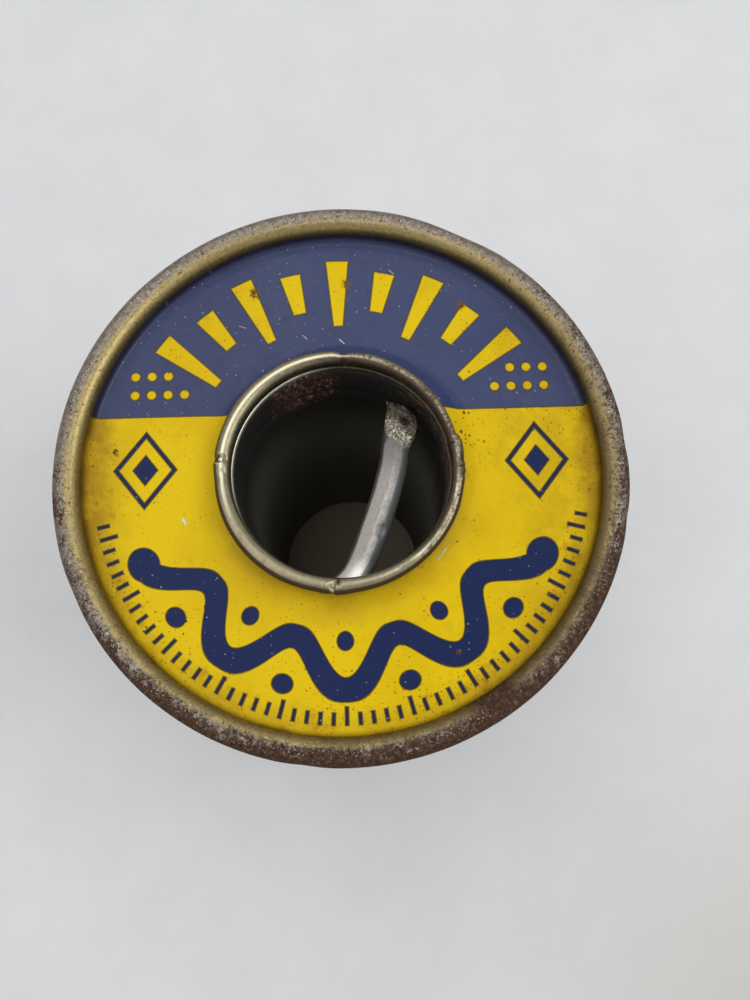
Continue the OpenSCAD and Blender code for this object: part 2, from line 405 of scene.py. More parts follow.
def eased_corner(before, corner, after, reach):
    """A quadratic curve that cuts a corner, starting and ending at reach from it."""
    before, corner, after = np.array(before), np.array(corner), np.array(after)
    first = corner + reach * (before - corner) / np.linalg.norm(before - corner)
    last = corner + reach * (after - corner) / np.linalg.norm(after - corner)
    t = np.linspace(0, 1, 7)[:, None]
    return (1 - t) ** 2 * first + 2 * t * (1 - t) * corner + t**2 * last


print("sheet:", SHEET, "mm thick")

# %% The sheet's section and uneven edges
EDGE_POINTS = 3


def sheet_section(middle):
    """Closed section round a middle line: each point plus and minus half the thickness along the
    normal, with half circles at the ends. Also gives each point's side: 1 left, 0 right."""
    steps = unit(np.diff(middle, axis=0))
    along = unit(np.vstack([steps[:1], steps[:-1] + steps[1:], steps[-1:]]))
    left = np.stack([-along[:, 1], along[:, 0]], axis=-1)
    half = SHEET / 2
    turn = np.linspace(0, np.pi, EDGE_POINTS + 2)[1:-1, None]
    far_end = middle[-1] + half * (np.cos(turn) * left[-1] + np.sin(turn) * along[-1])
    near_end = middle[0] - half * (np.cos(turn) * left[0] + np.sin(turn) * along[0])
    section = np.vstack([middle + half * left, far_end, (middle - half * left)[::-1], near_end])
    ends = np.full(EDGE_POINTS, 0.5)
    side = np.concatenate([np.ones(len(middle)), ends, np.zeros(len(middle)), ends])
    return section, side


def fade(value, start, end):
    """0 on the start's side and 1 on the end's, with 3t^2 - 2t^3 between them."""
    t = np.clip((value - start) / (end - start), 0, 1)
    return t * t * (3 - 2 * t)


def bell(value):
    """1 where the value is 0, falling to 0 on both sides: e to the power of minus its square."""
    return np.exp(-(value**2))


def ripples(angle, counts, rng):
    """Sum of sines that run whole counts of times round the circle, each with a chance phase."""
    phases = rng.uniform(0, 2 * np.pi, len(counts))
    waves = [np.sin(n * angle + phase) / n**0.5 for n, phase in zip(counts, phases)]
    return sum(waves) / sum(1 / n**0.5 for n in counts)


def angle_from(angle, centre):
    """Angle in degrees past centre, from -180 to 180."""
    return (np.degrees(angle) - centre + 180) % 360 - 180


print("350 degrees is", angle_from(np.radians(350), 0).round(), "from 0")

# %% [markdown]
# ## Flanges
# A flange is a stamped disc. From the hole outwards its sheet runs flat on a low collar, slopes
# down to the face, bends up at the edge and rolls over into the rim, with the sheet's edge tucked
# inside the roll. Depths are measured down from the crest of the rim, which years of standing on
# it have worn flat. Small ripples and knocks keep the rim from looking turned on a lathe; they
# only ever go inwards, so the flange stays as large as the CAD model says.

# %% Flange section
RIM_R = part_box("top_flange")[1][0] / MM
SPOOL_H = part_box("top_flange")[1][2] / MM
ROLL_R = 1.25
ROLL_C = RIM_R - ROLL_R
ROLL_Y = 0.1 - ROLL_R
BEND_R = 0.6
BEND_Y = ROLL_Y - 0.25
BEND_X = ROLL_C - ROLL_R - BEND_R
FACE_Y = BEND_Y - BEND_R - SHEET / 2
COLLAR_Y = FACE_Y + 0.8
HOLE_R = 10.1
COLLAR_R = (10.95, 12.1)
ROLL_STEPS = 34

collar_edge, collar_foot = (COLLAR_R[0], COLLAR_Y), (COLLAR_R[1], FACE_Y)
inner_edge, face_edge = (HOLE_R + SHEET / 2, COLLAR_Y), (BEND_X, FACE_Y)
flange_line = np.vstack(
    [
        straight(inner_edge, (COLLAR_R[0] - 0.4, COLLAR_Y), 3)[:-1],
        eased_corner(inner_edge, collar_edge, collar_foot, 0.35),
        eased_corner(collar_edge, collar_foot, face_edge, 0.45),
        straight((COLLAR_R[1] + 0.7, FACE_Y), (BEND_X - 0.2, FACE_Y), 12),
        arc((BEND_X, BEND_Y), BEND_R + SHEET / 2, -90, 0, 10),
        arc((ROLL_C, ROLL_Y), ROLL_R - SHEET / 2, 180, -140, ROLL_STEPS),
    ]
)
flange_section, flange_side = sheet_section(flange_line)
line_run = run_along(flange_line)
line_run = line_run - line_run[-ROLL_STEPS]
edge_runs = [[line_run[i]] * EDGE_POINTS for i in (-1, 0)]
flange_run = np.concatenate([line_run, edge_runs[0], line_run[::-1], edge_runs[1]])
print("flange section:", len(flange_section), "points")

# %% Flange surface
FLANGE_COLUMNS = 640
RIM_FROM = 22.4
RIM_WAVES = (0.035, 0.04)
FACE_WAVE = 0.03
CREASE_R = 12.35
LOW_SIDE = 10


def flange_grid(rng, knocks):
    """Radius and depth of each point, as arrays with a column an angle.

    The section is carried round the axis. Past the face, ripples and knocks take a little off the
    radius and the height. The face itself waves by a few hundredths of a millimetre, the collar is
    lower away from LOW_SIDE, and a fine crease runs round the collar's foot."""
    angle = around(FLANGE_COLUMNS)
    r = flange_section[:, :1] + 0 * angle
    y = flange_section[:, 1:] + 0 * angle
    rim = fade(r, RIM_FROM, RIM_FROM + 2)
    r = r - rim * RIM_WAVES[0] * (1 + ripples(angle, [2, 3, 5, 9, 17, 31], rng))
    y = y - rim * RIM_WAVES[1] * (1 + ripples(angle, [2, 3, 7, 13, 29], rng))
    for centre, reach, depth in knocks:
        near = bell(angle_from(angle, centre) / reach)
        r = r - depth * near * fade(r, 23.9, 25.2)
        y = y - 0.6 * depth * near * fade(r, 23.2, 24.6)
    lower = np.minimum(0.5 * (1 - np.cos(angle - math.radians(LOW_SIDE))), 0.62)
    y = y - np.clip(y - FACE_Y, -SHEET / 2, None) * lower * fade(r, 13, 12.6)
    face = fade(r, 12, 14) * fade(r, 22, 19)
    y = y + face * FACE_WAVE * ripples(angle + r / 9, [2, 3, 4], rng)
    crease = bell((r - CREASE_R) / 0.16)
    y = y + crease * 0.025 * (1 + ripples(angle, [2, 5, 9], rng))
    return angle, r, np.minimum(y, 0)


print("flange:", FLANGE_COLUMNS, "columns of", len(flange_section), "points")

# %% [markdown]
# ## Printed tinplate
# The flange's finish is one material, because it is one sheet: print on the face, gold lacquer
# on the inner flank of the rim, and bare tin with rust where the rim is rubbed. Each part is a
# mask from the point's radius, its angle and some noise. The print has two plain fields of
# colour, and a pattern of rays, dots, a wave, ticks and lozenges. Each shape is written as the
# distance from its edge in millimetres, negative inside it. The smaller of two distances is both
# shapes together, the larger is what they share, and a band round 0 is the print's dark outline.

# %% Fields of the print
CHORD_Y = 5.6
INK = (34, 45, 88)
YELLOW = (223, 190, 8)
INK_EDGE = 0.045

tin = Finish("printed_tin")
tin_x, tin_y = map(tin.axis, "XY")
tin_r = length(tin_x, tin_y)
tin_turn = tin_y.math("ARCTAN2", tin_x)
from_bottom = tin_turn + math.pi / 2
blur = (tin.noise(0.25, 2) - 0.5) * 0.16


def inside(distance):
    """1 where a distance is negative, with an edge as sharp as print."""
    return (distance + blur * 0.4).fade(INK_EDGE, -INK_EDGE)


def rays():
    """Tapered bars that fan out over the blue field, every second one shorter."""
    step = math.radians(13)
    number, off = ((tin_turn - math.pi / 2) / step + 0.5).cell()
    odd = number.math("PINGPONG", 1)
    width = 0.42 + (tin_r - 13.6) * 0.095
    ends = (14.0 + odd * 1.7 - tin_r).most(tin_r - 20.7 + odd * 0.9)
    fan = (number.size() - 4.5) * 9
    return ((off * tin_r * step).size() - width).most(ends).most(fan)


def dots_by_the_chord():
    """Two short rows of round dots in the blue field's corners."""
    rows = []
    for height, start, end in ((7.7, 13.4, 19.4), (9.5, 14.9, 19.4)):
        _, off = ((tin_x.size() - start) / 1.5).cell()
        ring = length(off * 1.5, tin_y - height) - 0.46
        rows.append(ring.most(start - tin_x.size()).most(tin_x.size() - end))
    return rows[0].least(rows[1])


from_chord = CHORD_Y - tin_y
blue_field = inside(from_chord)
yellow_marks = rays().least(dots_by_the_chord())
print("blue field:", len(tin.tree.nodes), "nodes")


# %% Marks on the yellow
def wave():
    """A bold ribbon that swings between two radii along the lower half, like bent wire, with a
    ball at each end and a dot in each bend.

    The distance from a sloping line is its distance across, divided by the slope's length."""
    swing, count, middle = 2.0, 11, 17.1
    phase = from_bottom * count
    off = tin_r - middle - phase.math("COSINE") * swing
    slope = phase.math("SINE") * (swing * count / middle)
    ribbon = off.size() / (slope * slope + 1) ** 0.5 - 1.0
    past_end = (from_bottom.size() - 4 * math.pi / count) * middle
    ball = length(past_end, tin_r - middle - swing) - 1.35
    number, along = (phase / math.pi + 0.5).cell()
    side = number.math("PINGPONG", 1) * 2 - 1
    dot = length(along * (math.pi * middle / count), tin_r - middle - side * 2.1) - 0.8
    dot = dot.most(from_bottom.size() * middle - 18)
    return ribbon.most(past_end).least(ball).least(dot)


def ticks():
    """Fine marks near the edge of the yellow field, every fifth one longer."""
    step = math.radians(3)
    number, off = (from_bottom / step + 0.5).cell()
    fifth = (number.size() / 5).math("FRACT").math("LESS_THAN", 0.1)
    ends = (21.0 - fifth * 0.5 - tin_r).most(tin_r - 22.0)
    mark = (off * tin_r * step).size() - 0.13
    return mark.most(ends).most((number.size() - 26.5) * 9)


def lozenges():
    """A framed lozenge at each side, under the line between the colours."""
    spread = (tin_x.size() - 17.5).size() / 2.6 + (tin_y - 0.6).size() / 3.3
    frame_line = (spread - 1).size() * 2 - 0.16
    return frame_line.least((spread - 0.42) * 2)


blue_marks = wave().least(ticks()).least(lozenges())
from_ink = from_chord.most(0 - yellow_marks).least(blue_marks.most(0 - from_chord))
ink = inside(from_ink)
ink_line = (from_ink + blur * 0.4).size().fade(0.12, 0.05)
print("pattern:", len(tin.tree.nodes), "nodes")

# %% [markdown]
# ## Age
# The print has tiny brown specks where the tin shows through, a few larger rust spots and
# scratches, soiled patches deepened with painted shade, and pale dust on the ink. Towards its
# crest the rim loses its lacquer along a ragged line, and outside it bare tin goes brown: first in
# flecks, then, round the lower right, in one crust. How far the rust has gone at each angle is a
# slow function of the direction.

# %% Specks, spots and scratches
RUST_SPOTS = [
    (11.5, 15.8, 1.1),
    (-7.8, 17.6, 1.3),
    (0.9, 18.3, 1.2),
    (-20.3, 2.4, 0.7),
    (9.6, -16.2, 0.6),
]
SCRATCHES = [
    ((-14.1, -3.9), (-13.8, -4.4), 0.10),
    ((0.1, 12.7), (0.5, 12.3), 0.04),
    ((-2.9, 12.8), (-3.3, 13.2), 0.03),
    ((9.0, -7.2), (8.2, -8.2), 0.05),
    ((4.9, 19.6), (5.3, 19.2), 0.03),
    ((-8.6, 14.1), (-9.2, 14.3), 0.03),
]


def stroke(start, end, width):
    """A scratch with round ends, drawn from above between two points."""
    run_x, run_y = end[0] - start[0], end[1] - start[1]
    from_x, from_y = tin_x - start[0], tin_y - start[1]
    share = (from_x * run_x + from_y * run_y) / (run_x * run_x + run_y * run_y)
    share = share.most(0).least(1)
    off = length(from_x - share * run_x, from_y - share * run_y)
    return (off + (tin.noise(0.2, 2) - 0.5) * 0.1).fade(width + 0.03, width - 0.03)


specks = tin.spots(1.7, 0.13) * tin.noise(5, 2).fade(0.46, 0.60)
fine_specks = tin.spots(0.5, 0.06, 7.0) * tin.noise(7, 2, offset=3.0).fade(0.42, 0.60)
dust = tin.spots(0.8, 0.075, 3.0) * tin.noise(4, 2, offset=2.0).fade(0.40, 0.56)
scratched = tin_x * 0
for start, end, width in SCRATCHES:
    scratched = scratched.most(stroke(start, end, width))
spotted = tin_x * 0
for spot_x, spot_y, spot_r in RUST_SPOTS:
    near = length(tin_x - spot_x, tin_y - spot_y) / spot_r
    spotted = spotted.most((tin.noise(0.3, 4, 0.75) * 2.0 - 0.45 - near).fade(0.0, 0.5))
print(len(RUST_SPOTS), "rust spots and", len(SCRATCHES), "scratches")

# %% Colours of the print
faded = tin.noise(11, 3)
dull = tin.noise(0.9, 4) * 0.5 + tin.noise(5, 2, offset=6.0) * 0.5
# Painted shade mixed with soil: the yellow darkens towards its right, below the collar and near the
# rim, where less light falls, and at its left edge with dirt.
soil_and_shade = tin_x.fade(9, 19) * 0.45 + tin_x.fade(-17.5, -21.5) * 0.6
soil_and_shade = soil_and_shade + tin_r.fade(14.6, 12.2) * tin_y.fade(0, -9) * 0.4
soil_and_shade = soil_and_shade + tin_r.fade(20.3, 22.4) * 0.4
soil_and_shade = soil_and_shade * tin.noise(3.2, 4, offset=13.0).fade(0.25, 0.6)
stain = (tin.noise(1.6, 4, 0.65) + tin_r.fade(18.5, 22) * 0.14).fade(0.66, 0.84)
chips = tin.spots(0.42, 0.2, 11.0) * tin_r.fade(14.2, 12.5)
chips = chips * (tin_turn - 0.28).size().fade(0.32, 0.12)
worn = (tin.noise(2.6, 3, offset=5.0) + tin_r.fade(17.0, 22) * 0.11).fade(0.53, 0.66)
yellow = tin.layers(
    (211, 176, 6),
    (YELLOW, faded.fade(0.3, 0.62)),
    # Besides dull patches, painted shade darkens the yellow next to the collar, where the curl
    # shades it.
    ((150, 118, 24), dull.fade(0.52, 0.72) * 0.30 + tin_r.fade(13.2, 11.2) * 0.2),
    ((168, 132, 22), soil_and_shade.least(1)),
    ((158, 108, 16), stain * tin_r.fade(17, 21) * 0.6),
    ((96, 66, 26), chips * tin.noise(0.9, 3).fade(0.45, 0.55)),
    ((160, 98, 20), tin.spots(0.34, 0.11, 19.0) * worn * 0.8),
    ((104, 66, 24), specks.most(fine_specks)),
)
ink_tone = tin.layers(
    INK,
    ((42, 54, 96), faded.fade(0.35, 0.7)),
    ((70, 70, 88), dull.fade(0.5, 0.75) * 0.4),
    ((22, 31, 66), tin.noise(1.3, 5, 0.7, offset=14.0).fade(0.48, 0.72) * 0.5),
    # Painted shade: ink on the yellow field is darker, where the sheen of the upper half doesn't
    # fall.
    ((28, 40, 80), 1 - blue_field),
    ((140, 146, 162), dust),
)
print_tone = tin.layers(
    yellow,
    (ink_tone, ink),
    ((38, 32, 34), ink_line * 0.75),
    ((96, 60, 30), spotted),
    ((166, 166, 168), scratched),
)
print("print:", len(tin.tree.nodes), "nodes")

# %% Lacquer and bare tin
# The attribute run is the distance along the sheet in millimetres: 0 where the roll begins,
# about 1.7 on the crest and 3.5 at the widest.
run = tin.attribute("run")
toward = (tin_x * 0.34 - tin_y * 0.94) / tin_r
to_right = ((tin_x * 0.96 - tin_y * 0.28) / tin_r).fade(0.1, 0.9)
grime = tin.noise(2.6, 4)
grit = tin.noise(0.22, 4, 0.7, offset=9.0)
sand = tin.noise(0.13, 3, 0.7, offset=12.0)
lacquer = tin.layers(
    (141, 124, 82),
    ((160, 145, 99), tin.noise(0.25, 3).fade(0.35, 0.65)),
    ((92, 74, 48), (grime * 0.6 + grit * 0.4 + toward * 0.04).fade(0.53, 0.74)),
    # Painted shade: the lacquer is darker towards the right, whose flank reflects less light.
    ((106, 91, 66), to_right * 0.6),
)
bare = tin.layers(
    (114, 103, 91),
    ((144, 134, 123), tin.noise(0.5, 4).fade(0.35, 0.65)),
    ((96, 84, 70), sand.fade(0.5, 0.68) * 0.6),
)
bare_from = run + (tin.noise(0.5, 5, 0.7) - 0.5) * 1.3 + (sand - 0.5) * 1.2
bare_share = (bare_from + (tin_y / tin_r).size() * 0.3).fade(1.4, 1.95)
print("lacquer and bare tin:", len(tin.tree.nodes), "nodes")

# %% Rust
rust_stops = [(0.3, (46, 33, 26)), (0.55, (78, 57, 44)), (0.75, (112, 90, 76))]
rust_tone = tin.add("ValToRGB", {"stops": rust_stops}, {0: tin.noise(0.35, 4, offset=1.0)})
red_patch = length(tin_x - 12.3, tin_y + 20.2).fade(3.6, 1.2)
eaten = grit * 0.4 + tin.noise(0.9, 4) * 0.3 + grime * 0.3
rust = eaten + toward * 0.085 + run.fade(0.8, 3.4) * 0.09 + red_patch * 0.12
rust = rust.fade(0.535, 0.60)
rust_share = rust * bare_share.most(0.3).most(red_patch)
flecks = tin.noise(0.32, 4, 0.7, offset=8.0)
border_flecks = (flecks + run.fade(0.6, 1.6) * 0.05 + to_right * 0.04).fade(0.62, 0.69)
rust_share = rust_share.most(border_flecks * 0.75)
crest = run.fade(0.9, 1.6) * run.fade(2.7, 1.9)
bright = tin.noise(0.2, 3, offset=7.0).fade(0.58, 0.67) * bare_share * crest
bright = bright * grime.fade(0.42, 0.52)
rim_tone = tin.layers(
    lacquer,
    (bare, bare_share),
    (rust_tone, rust_share),
    ((222, 214, 203), bright * (1 - rust * 0.25)),
)
rim_rough = 0.38 + bare_share * 0.1 + rust_share * 0.3
rim_metal = 1 - rust_share * 0.9 * (1 - bright)
print("rust:", len(tin.tree.nodes), "nodes")

# %% Printed tin
border = run + blur + (tin.noise(0.8, 3) - 0.5) * 0.12
printed = tin.attribute("printed").fade(0.4, 0.6) * border.fade(0.03, -0.03)
# Painted shade and grime: the print darkens in a band along the rim's roll, where the rim shades
# it.
dirt = border.fade(-1.5, -0.1) * border.fade(0.8, 0.1) * (0.4 + grime * 0.6)
flaw = specks.most(fine_specks).most(spotted)
peel = tin.noise(0.7, 2)
pits = tin.noise(0.16, 3, offset=4.0)
print_bump = peel * 0.2 + ink * 0.12 - flaw * 0.5 - scratched * 0.6
rim_bump = pits * 0.1 + sand * (0.25 + bare_share * 0.5) + rust_share * 0.6
skin = tin.mix(rim_tone, print_tone, printed)
finishes["printed_tinplate"] = tin.surface(
    Base_Color=tin.mix(skin, (40, 30, 18), dirt),
    Metallic=(rim_metal * (1 - printed) * (1 - dirt * 0.6)).most(scratched * printed * 0.8),
    Roughness=printed * (0.30 + flaw * 0.4 + dust * 0.3 + dirt * 0.4) + (1 - printed) * rim_rough,
    Specular_IOR_Level=0.08,
    Coat_Weight=printed * ink * blue_field * 0.5,
    Coat_Roughness=0.32,
    Normal=tin.bump(print_bump * printed + rim_bump * (1 - printed), 0.03),
)
print("printed tin:", len(tin.tree.nodes), "nodes")

# %% Flanges
# Each knock: its angle, its reach in degrees and its depth.
UPPER_KNOCKS = [(63, 8, 0.17), (4, 3.5, 0.10), (-12, 2.5, 0.08), (205, 4, 0.06), (262, 3, 0.08)]
LOWER_KNOCKS = [(20, 3, 0.10), (140, 4, 0.12), (250, 2.5, 0.10)]


def make_flange(name, node, seed, knocks, upper):
    angle, r, y = flange_grid(np.random.default_rng(seed), knocks)
    points = ring_points(angle, r, SPOOL_H + y if upper else -y)
    notes = {"printed": flange_side[:, None] + 0 * angle, "run": flange_run[:, None] + 0 * angle}
    new_piece(name, node, "printed_tinplate", points, notes, grid_faces(points, closed=True))


make_flange("upper_flange", "top_flange", 11, UPPER_KNOCKS, True)
make_flange("lower_flange", "bottom_flange", 23, LOWER_KNOCKS, False)

# %% [markdown]
# ## Barrel
# The barrel is a strip of tinplate rolled into a tube. Its edges lap at one side, its ends curl
# outwards over the flanges, and a punch has nicked each curl in four places so that the flange
# can't turn. The wall steps out a little at each mouth, with a bead below that the flange rests
# on. Near the top a slot lets the wire in.

# %% Barrel section
BORE_R = 9.58
WALL_R = BORE_R + SHEET / 2
MOUTH_STEP = 0.17
LEDGE_Y = (-1.69, -1.52)
CURL_C = (10.325, -0.605)
CURL_HALF = 0.575
LOCK_BEAD = (-2.09, 0.26, 0.27)
STOP_BEAD = (-6.84, 0.65, 0.25)
SLOT_Y = (-5.29, -2.49)
SLOT_X = (-2.6, 3.0)


def wall_line(y, stop_bead):
    """Middle radius of the wall at depth y: the bore's, a step at the mouth and two beads."""
    r = WALL_R + MOUTH_STEP * fade(y, *LEDGE_Y)
    r = r + LOCK_BEAD[2] * bell((y - LOCK_BEAD[0]) / LOCK_BEAD[1])
    if stop_bead:
        r = r + STOP_BEAD[2] * np.clip(1 - ((y - STOP_BEAD[0]) / STOP_BEAD[1]) ** 2, 0, 1)
    return np.stack([r, y], axis=-1)


def half_barrel_line(upper):
    """Middle line of half a barrel, from its waist along the wall and round the curl. The upper
    half has the stop bead and rows for the slot; the lower one is plainer."""
    waist = np.linspace(-SPOOL_H / 2, -9, 5 if upper else 2)
    bead, slot = np.linspace(-7.6, -6.05, 7), np.linspace(*SLOT_Y, 9)
    above = [bead, slot, np.linspace(SLOT_Y[1], -1.75, 6)[1:]]
    ledge_highlight = [np.linspace(*LEDGE_Y, 4), np.linspace(LEDGE_Y[1], CURL_C[1], 4)[1:-1]]
    y = np.concatenate([waist, *(above if upper else [np.linspace(-2.9, -1.75, 8)]), *ledge_highlight])
    curl = arc(CURL_C, CURL_HALF - SHEET / 2, 180, -90, 24 if upper else 14)
    return np.vstack([wall_line(y, upper), curl])


upper_line = half_barrel_line(True) + [0, SPOOL_H]
lower_line = (half_barrel_line(False) * [1, -1])[::-1]
barrel_line = np.vstack([lower_line, upper_line[1:]])
barrel_section, barrel_side = sheet_section(barrel_line)
print("barrel section:", len(barrel_section), "points")

# %% [markdown]
# The nicks, the lap and the slot make the barrel differ from angle to angle. The lap is a step
# that stands out of the curl and fades along it. Each nick is a dent pressed into the curl. For the
# slot the columns and rows of the grid are laid so that a block of faces has its outline; those
# faces are left out of both sides of the sheet, and a narrow band of faces joins the two edges.
# The curl was rolled by hand and is broader on one side, which a short table of widths gives.

# %% Curl and dents
# Each dent: where it is, how far it runs before and after that in degrees, how deep it is, and
# where across the curl (-1 inside, 1 outside) it lies, how wide it is and how much painted shade
# and grime it gets. A negative depth is a lip and a negative shade is a painted highlight on lit
# metal.
DENTS = [
    (265.7, 4.2, 0.3, 0.55, 0.2, 0.9, -1),
    (267.2, 1.2, 1.8, 0.30, -0.6, 0.5, 1),
    (263.5, 3.5, 2.5, -0.07, -0.2, 0.8, 0),
    (174.9, 2.6, 2.0, 0.52, 0.3, 0.8, 1.4),
    (177.2, 0.7, 0.9, -0.14, 0.5, 0.5, -0.8),
    (181.5, 2.0, 6.0, 0.10, -0.2, 0.9, 0),
    (88.6, 11.0, 0.7, 0.22, -0.8, 0.5, 0.5),
    (87.5, 4.5, 2.2, 0.26, 0.7, 0.5, 0),
    (90.2, 1.2, 0.5, -0.22, -0.85, 0.4, 0),
    (1.5, 1.2, 10.0, 0.30, 0.65, 0.4, 1),
    (-1.4, 1.0, 0.7, 0.30, 0.1, 0.8, 1),
    (354.6, 1.0, 1.5, 0.22, 0.5, 0.5, 0.6),
    (352.0, 1.4, 1.0, -0.08, 0.2, 0.6, 0),
    (10.8, 0.7, 0.7, 0.32, -0.6, 0.7, 1),
    (34.0, 1.2, 0.9, 0.10, 0.0, 0.6, 0.5),
    (48.0, 0.9, 1.6, 0.08, -0.4, 0.6, 0),
    (215.0, 3.0, 2.0, 0.06, 0.5, 0.6, 0),
    (232.0, 2.0, 3.0, 0.05, 0.3, 0.6, 0),
]
# The curl's width in millimetres outwards from CURL_FROM, at some angles.
CURL_FROM = 9.75
CURL_ANGLES = [-60, -20, 0, 13.5, 15.2, 30, 60, 77, 84, 89, 93, 105]
CURL_ANGLES += [120, 140, 160, 176, 185, 200, 220, 240, 258, 266, 275, 300]
CURL_WIDTHS = [1.25, 1.17, 1.03, 1.10, 0.84, 0.97, 1.09, 1.13, 1.0, 0.94, 1.18, 1.27]
CURL_WIDTHS += [1.34, 1.42, 1.46, 1.50, 1.40, 1.47, 1.51, 1.49, 1.41, 1.54, 1.37, 1.25]


def pressed(angle, across):
    """Depth of the dents and their painted shade, negative for a painted highlight: each a ramp up
    to its place and a ramp down, by a bell across the curl."""
    depth = 0 * angle * across
    dirt = 0 * depth
    for centre, before, after, deep, middle, width, painted_light_level in DENTS:
        past = angle_from(angle, centre)
        ramp = np.where(past < 0, 1 + past / before, 1 - past / after)
        share = np.clip(ramp, 0, 1) * bell((across - middle) / width)
        depth = depth + deep * share
        dirt = np.where(np.abs(dirt) < abs(painted_light_level) * share, painted_light_level * share, dirt)
    return depth, dirt


def curl_place(r, z):
    """How far a point belongs to a curl, 0 to 1, and where it is across it, -1 to 1."""
    end = np.minimum(z, SPOOL_H - z)
    return fade(end, 1.15, 0.75), np.clip((r - CURL_C[0]) / CURL_HALF, -1, 1)


def curl_width(angle):
    """The curl's width at each angle, over the width that the section has."""
    widths = np.interp(np.degrees(angle), CURL_ANGLES, CURL_WIDTHS, period=360)
    return widths / (2 * CURL_C[0] - 2 * CURL_FROM)


print(len(DENTS), "dents")

# %% Slot
SLOT_COLUMNS = 56
BARREL_COLUMNS = 560


def barrel_angles():
    """Angles of the columns: SLOT_COLUMNS steps over the slot, and even steps for the rest."""
    start, end = (-math.pi / 2 + math.asin(x / WALL_R) for x in SLOT_X)
    slot = np.linspace(start, end, SLOT_COLUMNS + 1)
    rest = np.linspace(end, start + 2 * math.pi, BARREL_COLUMNS - SLOT_COLUMNS + 1)[1:-1]
    return np.concatenate([slot, rest])


def slot_outline(angle, r, z):
    """Moves the points round the slot so that the block's corners become half circles."""
    middle = (SLOT_X[0] + SLOT_X[1]) / 2
    half_w = (SLOT_X[1] - SLOT_X[0]) / 2
    half_h = (SLOT_Y[1] - SLOT_Y[0]) / 2
    x = r * np.cos(angle) - middle
    up = z - SPOOL_H - (SLOT_Y[0] + SLOT_Y[1]) / 2
    square = np.maximum(np.maximum(np.abs(x / half_w), np.abs(up / half_h)), 1e-6)
    past = np.clip(np.abs(x / square) - (half_w - half_h), 0, None)
    round_scale = 1 / np.maximum(np.hypot(past, up / square) / half_h, 1)
    front = (np.sin(angle) < 0) * fade(square, 1.3, 1.0)
    scale = 1 + (round_scale - 1) * front
    new_x = middle + x * scale
    new_angle = np.where(front > 0, -np.arccos(np.clip(new_x / r, -1, 1)), angle)
    return new_angle, z + up * (scale - 1) * (front > 0)


def barrel_faces(points):
    """Grid faces without the slot's, and a band between the slot's edges on the two sides."""
    z = barrel_line[:, 1] - SPOOL_H
    bore = np.flatnonzero((z > SLOT_Y[0] - 1e-6) & (z < SLOT_Y[1] + 1e-6))
    back = 2 * len(barrel_line) + EDGE_POINTS - 1 - bore
    index = np.arange(points.size // 3).reshape(-1, BARREL_COLUMNS)
    faces = grid_faces(points, closed=True)
    first_row, first_column = np.divmod(faces[:, 0], BARREL_COLUMNS)
    in_slot = np.isin(first_row, np.concatenate([bore[:-1], back[1:]]))
    faces = faces[~(in_slot & (first_column < SLOT_COLUMNS))]
    loops = []
    for ids in (bore, back):
        block = index[ids][:, : SLOT_COLUMNS + 1]
        edges = [block[0, :-1], block[:-1, -1], block[-1, :0:-1], block[:0:-1, 0]]
        loops.append(np.concatenate(edges))
    one, other = loops
    band = np.stack([one, np.roll(one, -1), np.roll(other, -1), other], axis=-1)
    return np.vstack([faces, band])


print("slot:", SLOT_COLUMNS, "of", BARREL_COLUMNS, "columns")

# %% Barrel surface
SEAM = 12.0


def barrel_grid():
    """Points of the barrel and their notes. The section is carried round the axis, and at each
    angle the curl's width, the lap, the dents and fine ripples are added to it."""
    rng = np.random.default_rng(5)
    angle = barrel_angles()
    r = barrel_section[:, :1] + 0 * angle
    z = barrel_section[:, 1:] + 0 * angle
    side = barrel_side[:, None]
    on_curl, across = curl_place(r, z)
    depth = np.minimum(SPOOL_H - z, z)
    wider = np.clip(r - CURL_FROM, 0, None) * (curl_width(angle) - 1)
    r = r + wider * fade(depth, 1.35, 1.2)
    past_seam = -angle_from(angle, SEAM)
    lap = fade(past_seam, -0.2, 0.25) * fade(past_seam, 24, 14)
    outer = on_curl * side * fade(across, -0.2, 0.6)
    outward = np.where(z > SPOOL_H / 2, 1, -1)
    r = r + outer * lap * 0.11
    z = z + outward * outer * lap * 0.02
    step = fade(past_seam, -0.25, 0.25) * fade(past_seam, 14, 0)
    r = r - side * (1 - on_curl) * step * 0.09
    depth, dirt = pressed(angle, across)
    press = on_curl * side * depth
    r = r - press * across * 0.6
    z = z - outward * press * np.sqrt(np.clip(1 - across**2, 0, 1))
    r = r - on_curl * side * 0.025 * (1 + ripples(angle, [3, 5, 11, 23, 41], rng)) * across
    new_angle, new_z = slot_outline(angle + 0 * r, r, z)
    points = ring_points(new_angle, r, np.clip(new_z, 0, SPOOL_H))
    notes = {"bore": side + 0 * r, "across": across * on_curl * side, "dirt": dirt * on_curl * side}
    return points, notes


barrel_points, barrel_notes = barrel_grid()
print("barrel:", barrel_points.shape[:2], "points")

# %% [markdown]
# ## Barrel finish
# Outside and on the curls the sheet keeps its gold lacquer, darker and thinner than on the rim
# and rusty where it is rubbed. The bore below the ledge is painted nearly black as shade, lighter
# lower down as painted light, with a patch of rust high on the back wall. A painted highlight
# follows the ledge and the curl's crest, and painted shade darkens the throat, the curl's outer
# edge, the inner half of its right side and its dents.

# %% Lacquer on the curl
can = Finish("lacquered_tin")
can_x, can_y, can_z = map(can.axis, "XYZ")
can_r = length(can_x, can_y)
can_across = can.attribute("across")
can_grime_and_painted_light = can.attribute("dirt")
bore_side = can.attribute("bore").fade(0.4, 0.6)


def can_faces(x, y):
    """How far a point lies to the side (x, y) of the axis, from -1 to 1."""
    return (can_x * x + can_y * y) / can_r


